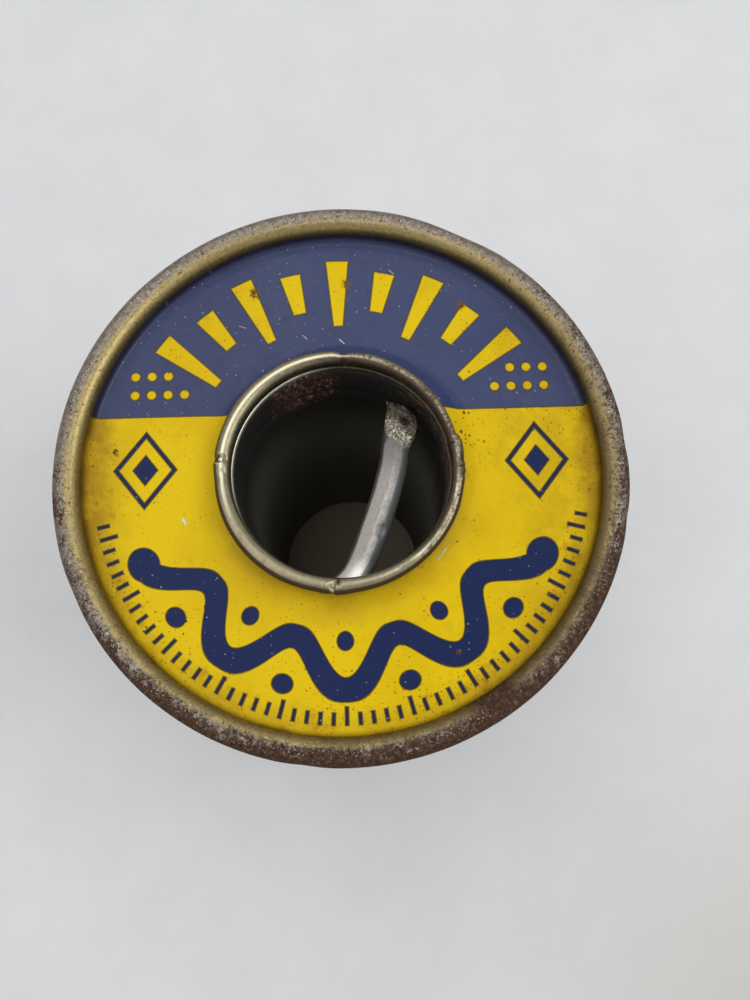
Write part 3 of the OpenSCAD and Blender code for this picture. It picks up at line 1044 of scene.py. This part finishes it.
throat_z = SPOOL_H - 0.55
# Painted shade in the throat between the curl and the ledge.
throat_shade = bore_side * can_r.fade(10.15, 9.9) * can_z.fade(throat_z, throat_z - 0.4)
can_rust_tone = can.mix((66, 46, 38), (116, 88, 74), can.noise(0.15, 3).fade(0.4, 0.65))
can_rust = can.noise(0.35, 4, 0.7) * 0.7 + can.noise(1.6, 2) * 0.3
can_rust = (can_rust + can_faces(0.88, 0.34) * 0.13).fade(0.58, 0.66)
nicks = can.noise(0.24, 4, 0.8, offset=3.0).fade(0.64, 0.71)
# Painted shade on the curl's outer edge at the front, and in the dents.
crevice_shade = can_across.fade(0.40, 0.62) * (0.3 - can_y / can_r * 0.7).fade(-0.3, 0.5)
crevice_shade = crevice_shade.most(can_grime_and_painted_light.fade(0.25, 0.7) * 0.9)
shaded = (can_faces(0.9, 0.43) + can.noise(1.1, 3) * 0.4).fade(0.2, 0.7)
shaded = can_across.fade(-0.1, -0.6) * shaded
# Painted highlight along the curl's crest, strongest on the upper left.
curl_highlight_left = can_faces(-0.77, 0.64).fade(0.35, 0.85)
curl_highlight_right = can_faces(0.8, -0.6).fade(0.6, 1.0) * can.noise(2.0, 2).fade(0.35, 0.6)
curl_highlight = (can_across + 0.08).size().fade(0.34, 0.08) * can_z.fade(27, 53.4)
curl_highlight = curl_highlight * (can_r - 9.9).fade(0, 0.15) * curl_highlight_left.most(curl_highlight_right * 0.8)
khaki = can.layers(
    (126, 118, 93),
    ((143, 134, 109), can.noise(0.4, 3).fade(0.3, 0.7)),
    ((66, 62, 44), throat_shade * can_z.fade(SPOOL_H / 2, SPOOL_H - 3)),
    ((96, 72, 48), nicks * 0.75),
    (can_rust_tone, can_rust),
    ((62, 45, 24), crevice_shade * 0.9),
    ((64, 48, 36), shaded * 0.85),
    ((226, 219, 186), curl_highlight * 0.7),
    # Painted highlight on the lit facets and lips of the dents.
    ((214, 206, 172), can_grime_and_painted_light.fade(-0.3, -0.7) * 0.8),
    # Painted shade deep in the dents.
    ((34, 27, 20), can_grime_and_painted_light.fade(0.65, 0.95)),
)
print("curl's lacquer:", len(can.tree.nodes), "nodes")

# %% Dark bore
ledge_z = SPOOL_H + LEDGE_Y[0] + 0.1
in_bore = bore_side * can_z.fade(ledge_z, ledge_z - 0.12)
in_bore = in_bore * can_z.fade(-LEDGE_Y[0] - 0.1, -LEDGE_Y[0])
patch_near = length(can_x + 3.6, can_y - 8.9, (can_z - SPOOL_H + 5.0) * 0.75)
patch = (can.noise(0.9, 4, 0.7) * 6.5 - patch_near).fade(-0.7, 1.2)
steep = can.vector("MULTIPLY", can.place, (1, 1, 0.5))
grains = can.add("TexVoronoi", {}, {"Vector": steep, "Scale": 1 / 0.18}).fade(0.2, 0.5)
patch_grain = grains * can.noise(0.4, 2, at=steep).fade(0.45, 0.65)
patch_tone = can.mix((62, 37, 31), (158, 112, 94), patch_grain)
# Painted shade: the bore's wall is nearly black below the ledge, and painted light makes it lighter
# lower down. Over it lie the rust patch and brown mottling.
dark = can.layers(
    (28, 27, 23),
    ((126, 122, 108), can_z.fade(46, 31)),
    (patch_tone, patch * can.noise(0.3, 3, at=steep).fade(0.40, 0.52)),
    ((78, 56, 44), (can.noise(0.8, 4) + can_x * 0.02).fade(0.62, 0.75) * can_z.fade(44, 52)),
)
# Painted highlight: a bright line along the ledge on the upper left.
ledge_highlight = (can_z - ledge_z).size().fade(0.16, 0.10) * can_faces(-0.87, 0.5).fade(0.5, 0.95)
finishes["lacquered_tinplate"] = can.surface(
    Base_Color=can.layers(khaki, (dark, in_bore), ((196, 190, 174), ledge_highlight * bore_side)),
    Metallic=(1 - in_bore) * (0.7 - can_rust * 0.55 - shaded * 0.3),
    Roughness=0.27 + can_rust * 0.3 + in_bore * 0.38 + crevice_shade * 0.3,
    Normal=can.bump(can.noise(0.2, 3) * 0.06 + can_rust * 0.25 + patch * grains, 0.03),
)
print("lacquered tin:", len(can.tree.nodes), "nodes")

# %% Barrel
barrel_mesh = barrel_points, barrel_notes, barrel_faces(barrel_points)
new_piece("barrel", "core_tube", "lacquered_tinplate", *barrel_mesh)

# %% [markdown]
# ## Wire as a swept circle
# Every length of wire is a circle carried along a path. At each point of the path two
# directions square to it are found from a cross product with the upward axis, which works while
# no stretch stands upright. The radius may vary along the wire and round it, which is how dents,
# a crushed tip and the marks of the drawing die get in.

# %% Wire helpers
WIRE_R = 1.2
UP = np.array([0.0, 0.0, 1.0])


def curve_through(knots, count):
    """Smooth curve through every knot: the Catmull-Rom cubic, count points a stretch."""
    knots = np.array(knots, float)
    ends = np.vstack([2 * knots[0] - knots[1], knots, 2 * knots[-1] - knots[-2]])
    a, b, c, d = (ends[i : len(ends) - 3 + i, None] for i in range(4))
    t = np.linspace(0, 1, count, endpoint=False)[None, :, None]
    square, cube = 2 * a - 5 * b + 4 * c - d, 3 * b - a - 3 * c + d
    cubic = 2 * b + (c - a) * t + square * t**2 + cube * t**3
    return np.vstack([(cubic / 2).reshape(-1, 3), knots[-1:]])


def evenly(path, spacing):
    """The same path with its points a set distance apart."""
    run = run_along(path)
    marks = np.linspace(0, run[-1], max(int(run[-1] / spacing), 2) + 1)
    return np.stack([np.interp(marks, run, path[:, i]) for i in range(3)], axis=-1), marks


def sweep(path, radius):
    """Points path + radius (cos a * side + sin a * over); radius has a value a ring and a side.

    Also gives the directions along the wire and over it, one a ring."""
    along = unit(np.gradient(path, axis=0))
    side = unit(np.cross(UP, along))
    over = np.cross(along, side)
    a = around(radius.shape[1])[:, None]
    round_it = np.cos(a) * side[:, None, :] + np.sin(a) * over[:, None, :]
    return path[:, None, :] + radius[..., None] * round_it, along, over


def with_caps(points, first, last):
    """The rings with one more at each end, drawn together in a point, which closes the tube."""
    flat = 0 * points[:1]
    return np.concatenate([first + flat, points, last + flat])


def wire_notes(marks, sides, tip=0.0):
    """Where each point is along the wire and round it, for marks that run with the wire."""
    a = around(sides)
    run = marks[:, None] + 0 * a
    where = np.stack([run, np.cos(a) + 0 * run, np.sin(a) + 0 * run], axis=-1)
    return {"where": where, "tip": tip + 0 * run}


print("wire:", 2 * WIRE_R, "mm")

# %% [markdown]
# ## Solder finish
# Soft solder is dull silver. It takes long faint lines from the drawing die and small pits from
# handling. The wire's start is greyer towards its tip, has painted shade on its right side and in
# its dent, a painted highlight on the ridge beside that side and at its lower bend, and a crushed
# tip that is grainy and grey brown. On the wound wire painted shade darkens the grooves between
# the turns. Attributes say which stretch is which.

# %% Start of the wire and its tip
alloy = Finish("solder")
wire_place = alloy.attribute("where", out="Vector")
die_lines = alloy.noise(0.25, 2, at=alloy.vector("MULTIPLY", wire_place, (0.012, 1, 1)))
scuff_place = alloy.vector("MULTIPLY", wire_place, (0.22, 1, 1))
scuffs = alloy.noise(0.3, 2, at=scuff_place, offset=2.0)
handling = alloy.noise(0.9, 4, 0.6)
streaks = (die_lines * 0.5 + handling * 0.5).fade(0.34, 0.66)
aside = alloy.attribute("aside")
# Painted shade on the wire's right side, and a painted highlight on the ridge beside it.
right_side_shade = (aside + (handling - 0.5) * 0.5 + (die_lines - 0.5) * 0.6).fade(0.1, 0.5)
ridge_highlight_share = aside.fade(-0.1, 0.12) * aside.fade(0.55, 0.25)
sparkle = alloy.noise(0.14, 3, 0.7, offset=6.0).fade(0.50, 0.64)
gritty = alloy.noise(0.17, 3, 0.7, offset=8.0).fade(0.50, 0.64)
start_tone = alloy.layers(
    (139, 133, 128),
    ((154, 147, 140), streaks),
    ((116, 111, 107), gritty * 0.55),
    ((108, 109, 110), right_side_shade),
    ((222, 217, 205), sparkle * (0.08 + ridge_highlight_share * 0.4)),
    ((205, 200, 190), ridge_highlight_share * 0.2),
    # Darker grey towards the tip, and painted shade in the dent.
    ((98, 96, 96), alloy.attribute("film") * (1 - gritty * 0.4)),
)
grain = alloy.noise(0.2, 3, 0.75, offset=4.0)
cracks = alloy.noise(0.4, 3, 0.7, offset=9.0).fade(0.53, 0.62)
tip_share = alloy.attribute("tip")
brown_share = alloy.attribute("brown")
brown_crumbs = alloy.mix((45, 37, 31), (114, 99, 84), grain.fade(0.38, 0.66))
crumbs = alloy.layers(
    (76, 70, 57),
    ((214, 207, 188), grain.fade(0.42, 0.62)),
    (alloy.mix(brown_crumbs, (26, 21, 17), cracks * 0.8), brown_share),
)
print("start of the wire:", len(alloy.tree.nodes), "nodes")

# %% Wound wire and flux
wound = 1 - alloy.attribute("start")
# Painted shade in the grooves: each turn is dark on the half that faces the core and where it meets
# its neighbours.
groove_shade = (alloy.axis("Y", wire_place) + (handling - 0.5) * 0.5).fade(-0.75, 0.0)
turn_tone = alloy.layers(
    (126, 127, 129),
    ((150, 150, 150), streaks),
    ((112, 110, 108), alloy.noise(3.5, 4, 0.7).fade(0.5, 0.72) * 0.4),
    ((206, 206, 204), scuffs.fade(0.61, 0.67) * 0.4),
    ((66, 65, 65), groove_shade),
)
silver = alloy.layers(
    start_tone,
    (turn_tone, wound),
    # Painted highlight at the wire's lower bend.
    ((240, 236, 228), alloy.attribute("rubbed")),
    ((112, 108, 106), scuffs.fade(0.62, 0.72) * 0.4),
)
pitted = die_lines * 0.04 + handling * 0.05 + alloy.noise(0.1, 2) * 0.2
finishes["solder"] = alloy.surface(
    Base_Color=alloy.mix(silver, crumbs, tip_share),
    Metallic=0.75 - tip_share * (0.3 + brown_share * 0.4) - right_side_shade * 0.3 + wound * 0.2,
    Roughness=0.36 + handling.fade(0.4, 0.7) * 0.12 + tip_share * 0.15 - wound * 0.12,
    Normal=alloy.bump(pitted + grain * tip_share, 0.05),
)
resin = Finish("flux")
finishes["flux"] = resin.surface(
    Base_Color=resin.mix((20, 12, 8), (58, 36, 20), resin.noise(0.3, 3).fade(0.35, 0.65)),
    Roughness=0.22 + resin.noise(0.15, 2) * 0.3,
    Normal=resin.bump(resin.noise(0.2, 3), 0.05),
)
print("finishes:", sorted(finishes))

# %% [markdown]
# ## The start of the wire
# The wire comes round the barrel under the flange, turns in through the slot and crosses the
# bore, rising slightly, to end short of the back wall. Side cutters took it off at a slant, so
# the last stretch is crushed wide, its cut face looks upwards and the flux shows as a dark pit.

# %% Path of the start
HOLE_Z = 50.11
TAIL_KNOTS = [
    [-6.22, -9.23, 0],
    [-4.23, -10.57, 0],
    [-1.9, -11.15, 0],
    [-0.7, -10.6, 0],
    [0.45, -9.7, 0],
    [1.3, -8.5, 0],
    [2.2, -6.5, 0.1],
    [3.14, -4.05, 0.2],
    [4.0, -1.58, 0.4],
    [4.68, 0.9, 0.6],
    [4.93, 2.6, 0.8],
    [5.45, 4.2, 1],
    [5.8, 6.85, 1.1],
]
tail_path, tail_marks = evenly(curve_through(TAIL_KNOTS, 12) + HOLE_Z * UP, 0.08)
tail_length = tail_marks[-1]
print(f"start of the wire: {tail_length:.1f} mm")

# %% Bent, knocked and crushed
TAIL_R = 1.3
TAIL_SIDES = 96
# The dent's distance from the tip, and its angle round the wire.
DENT_PLACE = (12.4, 122)


def close_grain(rng, shape, passes):
    """Chance heights, made smoother by averaging each with its neighbours a few times."""
    grain_field = rng.normal(size=shape)
    for _ in range(passes):
        across = np.roll(grain_field, 1, 1) + np.roll(grain_field, -1, 1)
        down = np.roll(grain_field, 1, 0) + np.roll(grain_field, -1, 0)
        grain_field = grain_field * 0.4 + (across + down) * 0.15
    return grain_field / grain_field.std()


def soft_least(one, other, blend):
    """The smaller of two arrays, rounded off where they cross."""
    share = np.clip(0.5 + 0.5 * (other - one) / blend, 0, 1)
    return other * (1 - share) + one * share - blend * share * (1 - share)


def dent_share(to_tip, a):
    """1 inside an oval knock on the wire's right side, falling to 0 over its lip."""
    along, round_it = (to_tip - DENT_PLACE[0]) / 0.62, angle_from(a, DENT_PLACE[1]) / 24
    return bell(along**2 + round_it**2)


def tail_radius(rng, a, to_tip):
    """The wire's radius, with a flat pressed along its upper left, a dent, a crushed tip and a
    burr at its edge. Its first stretch is thinner, to clear the barrel.

    A flat at a distance d from the middle has radius d / cos(angle from its own direction)."""
    marks = tail_marks[:, None]
    radius = TAIL_R + 0.008 * np.sin(a * 3 + marks * 0.4)
    radius = radius - 0.12 * fade(marks, 3.0, 1.5)
    facing = np.maximum(np.cos(a - math.radians(77)), 0.05)
    depth = 0.80 + 0.02 * np.sin(to_tip * 0.9) + 0.3 * fade(to_tip, 5, 3)
    radius = soft_least(radius, depth * TAIL_R / facing, 0.06)
    crushed = fade(to_tip, 4.6, 2.8) * fade(to_tip, -0.8, 1.6)
    radius = radius * (1 + crushed * (0.14 * np.cos(a) ** 2 - 0.1 * np.sin(a) ** 2))
    radius = radius - 0.17 * dent_share(to_tip, a)
    burr = bell(angle_from(a, 8) / 9) * bell(to_tip / 0.3)
    return radius + 0.3 * burr + 0.0025 * close_grain(rng, radius.shape, 4)


def cut_height(to_tip):
    """Height of the cutters' slanting face over the wire's middle, by the distance to the tip."""
    return -0.9 + 0.5 * to_tip


print("the cut face starts", 2 * (0.9 + TAIL_R), "mm from the tip")


# %% Start of the wire
def make_tail():
    """The wire's start, with notes of how far each point is at the tip or brown, how far it is
    greyed near the tip and shaded in its dent, where its lower bend takes a painted highlight, and
    how far it is turned away to the right."""
    rng = np.random.default_rng(8)
    a = around(TAIL_SIDES)
    to_tip = (tail_length - tail_marks)[:, None]
    radius = tail_radius(rng, a, to_tip)
    points, along, over = sweep(tail_path, radius)
    height, aside = radius * np.sin(a), radius * np.cos(a)
    coarse, lumpy = close_grain(rng, radius.shape, 1), close_grain(rng, radius.shape, 5)
    gritty = 0.05 * coarse + 0.07 * lumpy
    face = cut_height(to_tip) + 0.12 * np.cos(2.2 * aside) + gritty
    pit = bell(((to_tip - 1.7) / 0.55) ** 2 + ((aside + 0.3) / 0.42) ** 2)
    lowered = np.minimum(height, face - 0.8 * pit)
    points = points + (lowered - height)[..., None] * over[:, None, :]
    slant = 1.2 * (0.5 - 0.5 * np.cos(a)) ** 2.5 + 0.07 * rng.normal(size=(1, TAIL_SIDES))
    back = fade(to_tip, 3.4, 0) * slant
    points = points - back[..., None] * along[-1]
    on_face = np.clip((height - lowered) / 0.05, 0, 1)
    near_tip = fade(0.25 * gritty / 0.07 - 0.4 * aside - to_tip, -4.4, -3.4)
    # Darker grey over the last stretch before the tip.
    greyed_near_tip = 0.9 * fade(to_tip, 8.5, 4.4)
    shares = {
        "tip": np.maximum(on_face, 0.9 * near_tip),
        "brown": fade(2.5 - 0.7 * aside - to_tip + 0.3 * gritty / 0.07, -0.25, 0.25),
        "film": np.maximum(greyed_near_tip + 0 * a, dent_share(to_tip, a) * 0.7),
        # Painted highlight where the wire bends at its lower end.
        "rubbed": fade(to_tip, 14.9, 17.0) * bell(angle_from(a, 102) / 34),
        "aside": 0 * radius - np.cos(a),
        "start": 0 * radius + 1,
    }
    notes = wire_notes(np.concatenate([[0], tail_marks, [tail_length]]), TAIL_SIDES)
    for key, share in shares.items():
        notes[key] = np.concatenate([0 * share[:1], share, share[-1:]])
    rings = with_caps(points, tail_path[0], points[-1].mean(axis=0))
    new_piece("wire_start", "wire_start_tail", "solder", rings, notes)


make_tail()

# %% Plug in the start
FLUX_R = 0.4
PLUG_SIDES = 24
PLUG_STRETCH = slice(-50, -14)


def make_start_plug():
    """The resin in the wire's start: a rod whose top is cut by the same slant, a little lower."""
    path, marks = tail_path[PLUG_STRETCH], tail_marks[PLUG_STRETCH]
    rng = np.random.default_rng(3)
    radius = np.full((len(path), PLUG_SIDES), FLUX_R - 0.02)
    points, _, over = sweep(path, radius)
    height = radius * np.sin(around(PLUG_SIDES))
    face = cut_height(tail_length - marks)[:, None] - 0.55
    face = face + 0.03 * close_grain(rng, height.shape, 1)
    points = points + (np.minimum(height, face) - height)[..., None] * over[:, None, :]
    rings = with_caps(points, points[0].mean(axis=0), points[-1].mean(axis=0))
    new_piece("flux_plug_start", "flux_core_start", "flux", rings)


make_start_plug()

# %% [markdown]
# ## Winding
# The outer layer is a helix of nearly touching turns. A machine wound it, yet no two turns lie
# quite alike, so the radius and the height drift a little along the wire. Under it only the
# crowns of the next layer can be seen, and a ribbed core with the same pitch stands for them.

# %% Outer turns
LAYER_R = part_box("wire_outer_layer")[1][0] / MM - WIRE_R
WINDING_Z = (2.45, 51.55)
TURNS = 19
LAYER_ANGLE = 300
RINGS_A_TURN = 90
TURN_SIDES = 18
TURN_RISE = (WINDING_Z[1] - WINDING_Z[0] - 2 * WIRE_R) / TURNS


def drift(run, lengths, rng):
    """Slow chance variation along a line: sines with the given wavelengths."""
    phases = rng.uniform(0, 2 * np.pi, len(lengths))
    return sum(np.sin(2 * np.pi * run / w + p) for w, p in zip(lengths, phases)) / len(lengths)


def make_winding():
    """A helix whose radius and height drift, but not at its ends. Its start dives to the core."""
    rng = np.random.default_rng(41)
    turn = np.linspace(0, TURNS, RINGS_A_TURN * TURNS + 1)
    angle = np.radians(LAYER_ANGLE) + 2 * np.pi * turn
    calm = fade(turn, 0, 0.4) * fade(turn, TURNS, TURNS - 0.4)
    low, high = WINDING_Z[0] + WIRE_R, WINDING_Z[1] - WIRE_R
    z = low + (high - low) * turn / TURNS + calm * 0.03 * drift(turn, [1.13, 3.7, 0.41], rng)
    r = LAYER_R - calm * 0.04 * (1 + drift(turn, [0.83, 2.9, 0.27], rng))
    r = r - 2.7 * fade(turn, 0.07, 0)
    path = ring_points(angle, r, z)
    marks = turn * 2 * np.pi * LAYER_R
    points, _, _ = sweep(path, np.full((len(path), TURN_SIDES), WIRE_R))
    marks = np.concatenate([[0], marks, marks[-1:]])
    rings = with_caps(points, path[0], path[-1])
    notes = wire_notes(marks, TURN_SIDES)
    new_piece("outer_turns", "wire_outer_layer", "solder", rings, notes)


make_winding()

# %% Under turns
# The core's inner and outer radius, and the grid's rings and columns.
CORE_R = (10.2, 18.6)
CORE_GRID = (240, 180)
RIB = 0.7
POCKET = 2.8


def make_under_turns():
    """Closed sleeve: inside a plain cylinder with a pocket for the wire's start, outside a ribbed
    cylinder whose radius follows the absolute cosine of height over pitch minus the turn."""
    angle = around(CORE_GRID[1])
    z = np.linspace(*WINDING_Z, CORE_GRID[0])[:, None]
    ribs = np.abs(np.cos(np.pi * ((z - WINDING_Z[0]) / TURN_RISE - angle / (2 * np.pi))))
    outer = CORE_R[1] + RIB * ribs**0.8
    pocket = fade(z, 48.4, 48.9) * fade(np.abs(angle_from(angle, 268)), 36, 32)
    inner = CORE_R[0] + POCKET * pocket
    r = np.concatenate([outer, inner[::-1]])
    heights = np.concatenate([z, z[::-1]])
    points = ring_points(angle, r, heights)
    phase = heights * 2.6 + 0 * r
    where = np.stack([r * angle, np.cos(phase), np.sin(phase)], axis=-1)
    notes = {"where": where, "tip": 0 * r}
    faces = grid_faces(points, closed=True)
    new_piece("under_turns", "wire_inner_layers", "solder", points, notes, faces)


make_under_turns()

# %% [markdown]
# ## The free end
# The last turn leaves the layer, climbs over its neighbours and runs down across them to a cut
# end, held by its own springiness, as on a spool in use. The cut face has a bore, in which a plug
# of resin sits a little deeper.

# %% Path of the free end
# Each step: degrees past the layer's end, a share of the way out and a drop.
FREE_STEPS = [
    [-8, 0, 0],
    [0, 0, 0],
    [8, 0.06, 0.02],
    [24, 0.75, 0.6],
    [36, 1, 1.44],
    [48, 1, 2.76],
    [60, 1, 4.44],
    [72, 1, 6.24],
]
FREE_TIP = 1.2
FREE_RINGS = slice(18, None)


def free_knots():
    """Knots on and over the outer layer, and a last one straight on by FREE_TIP wires."""
    z = WINDING_Z[1] - WIRE_R
    out = 2 * WIRE_R + 0.05
    step, share, drop = np.array(FREE_STEPS).T
    knots = ring_points(np.radians(LAYER_ANGLE + step), LAYER_R + out * share, z - drop)
    tip = knots[-1] + FREE_TIP * 2 * WIRE_R * unit(knots[-1] - knots[-2])
    return np.vstack([knots, tip])


free_path, free_marks = evenly(curve_through(free_knots(), 10), 0.15)
free_path, free_marks = free_path[FREE_RINGS], free_marks[FREE_RINGS]
print(f"free end: {free_marks[-1] - free_marks[0]:.1f} mm")

# %% Free end and its plug
FREE_SIDES = 32
PIT_DEPTH = 0.9
PLUG_LENGTH = 1.6
PLUG_RECESS = 0.18


def make_free_end():
    """The end of the wire, pinched by the cutters, with a bore in its face. Gives the middle of
    the face and its direction."""
    rng = np.random.default_rng(17)
    radius = WIRE_R + 0.006 * close_grain(rng, (len(free_path), FREE_SIDES), 4)
    a = around(FREE_SIDES)
    pinch = fade((free_marks - free_marks[-1])[:, None], -1.6, -0.1)
    radius = radius * (1 + pinch * (0.08 * np.cos(a) ** 2 - 0.22 * np.sin(a) ** 2))
    points, along, _ = sweep(free_path, radius)
    middle = points[-1].mean(axis=0)
    level = np.linspace(1, FLUX_R / WIRE_R, 5)[1:, None, None]
    cut_face = middle + (points[-1] - middle)[None] * level + 0.05 * (1 - level) * along[-1]
    pit = cut_face[-1:] - PIT_DEPTH * along[-1]
    rings = with_caps(np.concatenate([points, cut_face, pit]), free_path[0], pit.mean(axis=1))
    extra = len(rings) - len(points) - 1
    marks = np.concatenate([free_marks[:1], free_marks, np.full(extra, free_marks[-1])])
    tip = 0.6 * fade(marks, marks[-1] - 0.5, marks[-1])
    lead = 2 * np.pi * LAYER_R * (TURNS + FREE_STEPS[0][0] / 360)
    notes = wire_notes(marks + lead, FREE_SIDES, tip[:, None])
    new_piece("free_end", "wire_free_end", "solder", rings, notes)
    return middle, along[-1]


def make_end_plug(middle, along):
    """A round plug of resin with a lumpy end, set a little below the cut face of the wire."""
    rng = np.random.default_rng(13)
    side = unit(np.cross(UP, along))
    over = np.cross(along, side)
    a = around(PLUG_SIDES)[:, None]
    run = np.array([PLUG_LENGTH, PLUG_LENGTH, 0.06, 0.0, 0.0, 0.0])[:, None, None]
    out = np.array([0.0, 0.97, 0.97, 0.8, 0.45, 0.0])[:, None, None] * FLUX_R
    lumps = 0.03 * rng.normal(size=(6, PLUG_SIDES, 1)) * (out > 0.1) * (run < 0.05)
    round_it = out * (np.cos(a) * side + np.sin(a) * over)
    points = middle - (run + PLUG_RECESS + lumps) * along + round_it
    new_piece("flux_plug_end", "flux_core_end", "flux", points)


make_end_plug(*make_free_end())
